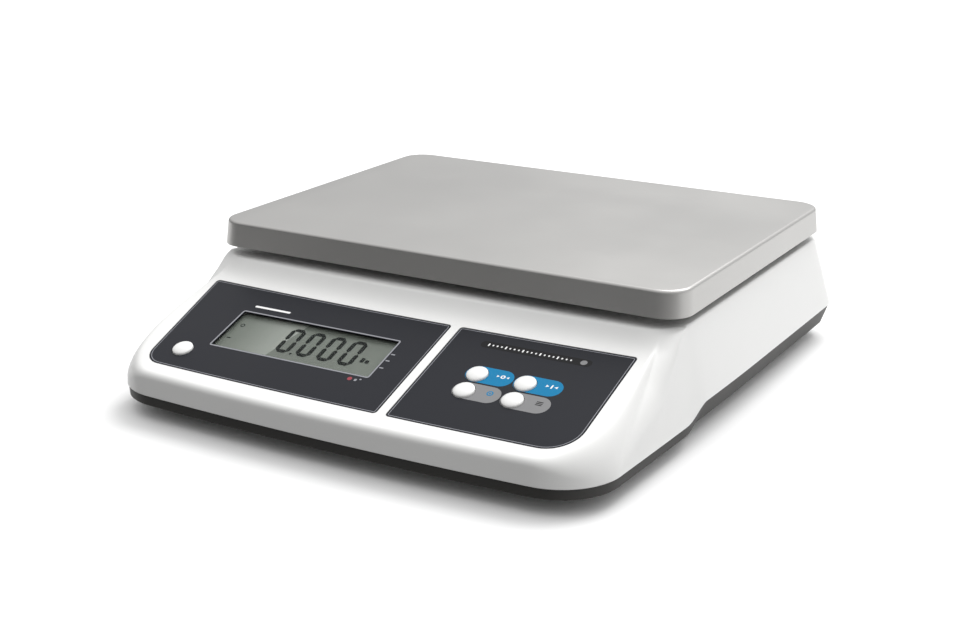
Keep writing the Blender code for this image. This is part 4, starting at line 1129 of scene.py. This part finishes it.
def add_sky():
    """White studio that is brightest above and behind, and dim in front."""
    world = bpy.data.worlds.new("studio")
    bpy.context.scene.world = world
    world.use_nodes = True
    wiring = Wiring(world.node_tree)
    spot = wiring.add("ShaderNodeTexCoord")
    slope = wiring.add("ShaderNodeVectorMath", operation="DOT_PRODUCT")
    slope.inputs[1].default_value = SKY_SLOPE
    split = wiring.add("ShaderNodeSeparateXYZ")
    above = wiring.add("ShaderNodeMath", operation="MAXIMUM")
    above.inputs[1].default_value = 0.0
    lifted = wiring.add("ShaderNodeMath", operation="MULTIPLY_ADD")
    lifted.inputs[1].default_value = SKY_RISE
    lifted.inputs[2].default_value = SKY_LEVEL
    total = wiring.add("ShaderNodeMath", operation="ADD")
    wiring.link(spot.outputs["Generated"], slope.inputs[0])
    wiring.link(spot.outputs["Generated"], split.inputs["Vector"])
    wiring.link(split.outputs["Z"], above.inputs[0])
    wiring.link(above.outputs["Value"], lifted.inputs[0])
    wiring.link(lifted.outputs["Value"], total.inputs[0])
    wiring.link(slope.outputs["Value"], total.inputs[1])
    wiring.link(total.outputs["Value"], world.node_tree.nodes["Background"].inputs["Strength"])
    world.node_tree.nodes["Background"].inputs["Color"].default_value = (1, 1, 1, 1)


def add_light(name, place, aim, size, power):
    """Square area light aimed at a point."""
    lamp = bpy.data.lights.new(name, "AREA")
    lamp.size = size
    lamp.energy = power
    holder = bpy.data.objects.new(name, lamp)
    holder.location = place
    holder.rotation_euler = (Vector(aim) - Vector(place)).to_track_quat("-Z", "Y").to_euler()
    bpy.context.scene.collection.objects.link(holder)


def add_floor():
    """White floor that shows and takes shadows, but throws no light back on the scale."""
    floor = helper(box_mesh((-FLOOR_HALF, -FLOOR_HALF, -0.02), (FLOOR_HALF, FLOOR_HALF, 0.0)))
    floor.name = "floor"
    white = moulded("floor white", (0.90, 0.90, 0.90), 0.70, 0.005, Specular_IOR_Level=0.2)
    floor.data.materials.append(white)
    floor.visible_diffuse = False
    floor.visible_shadow = False
    floor.visible_transmission = False


def add_flag():
    """Dim card on the floor in front that only reflections can see."""
    card = helper(box_mesh((-FLAG_HALF, -FLAG_REACH, 0.0002), (FLAG_HALF, FRONT_Y - 0.004, 0.0004)))
    card.name = "flag"
    dim = bpy.data.materials.new("flag grey")
    dim.use_nodes = True
    shader = dim.node_tree.nodes["Principled BSDF"]
    shader.inputs["Base Color"].default_value = (0, 0, 0, 1)
    shader.inputs["Emission Color"].default_value = (1, 1, 1, 1)
    shader.inputs["Emission Strength"].default_value = FLAG_STRENGTH
    card.data.materials.append(dim)
    card.visible_camera = False
    card.visible_diffuse = False
    card.visible_shadow = False
    card.visible_transmission = False


add_camera()
add_sky()
add_light("softbox", (0.30, 0.90, 1.60), (0, 0, 0.05), 1.2, 20)
add_floor()
add_flag()
bpy.context.scene.view_settings.view_transform = "Standard"
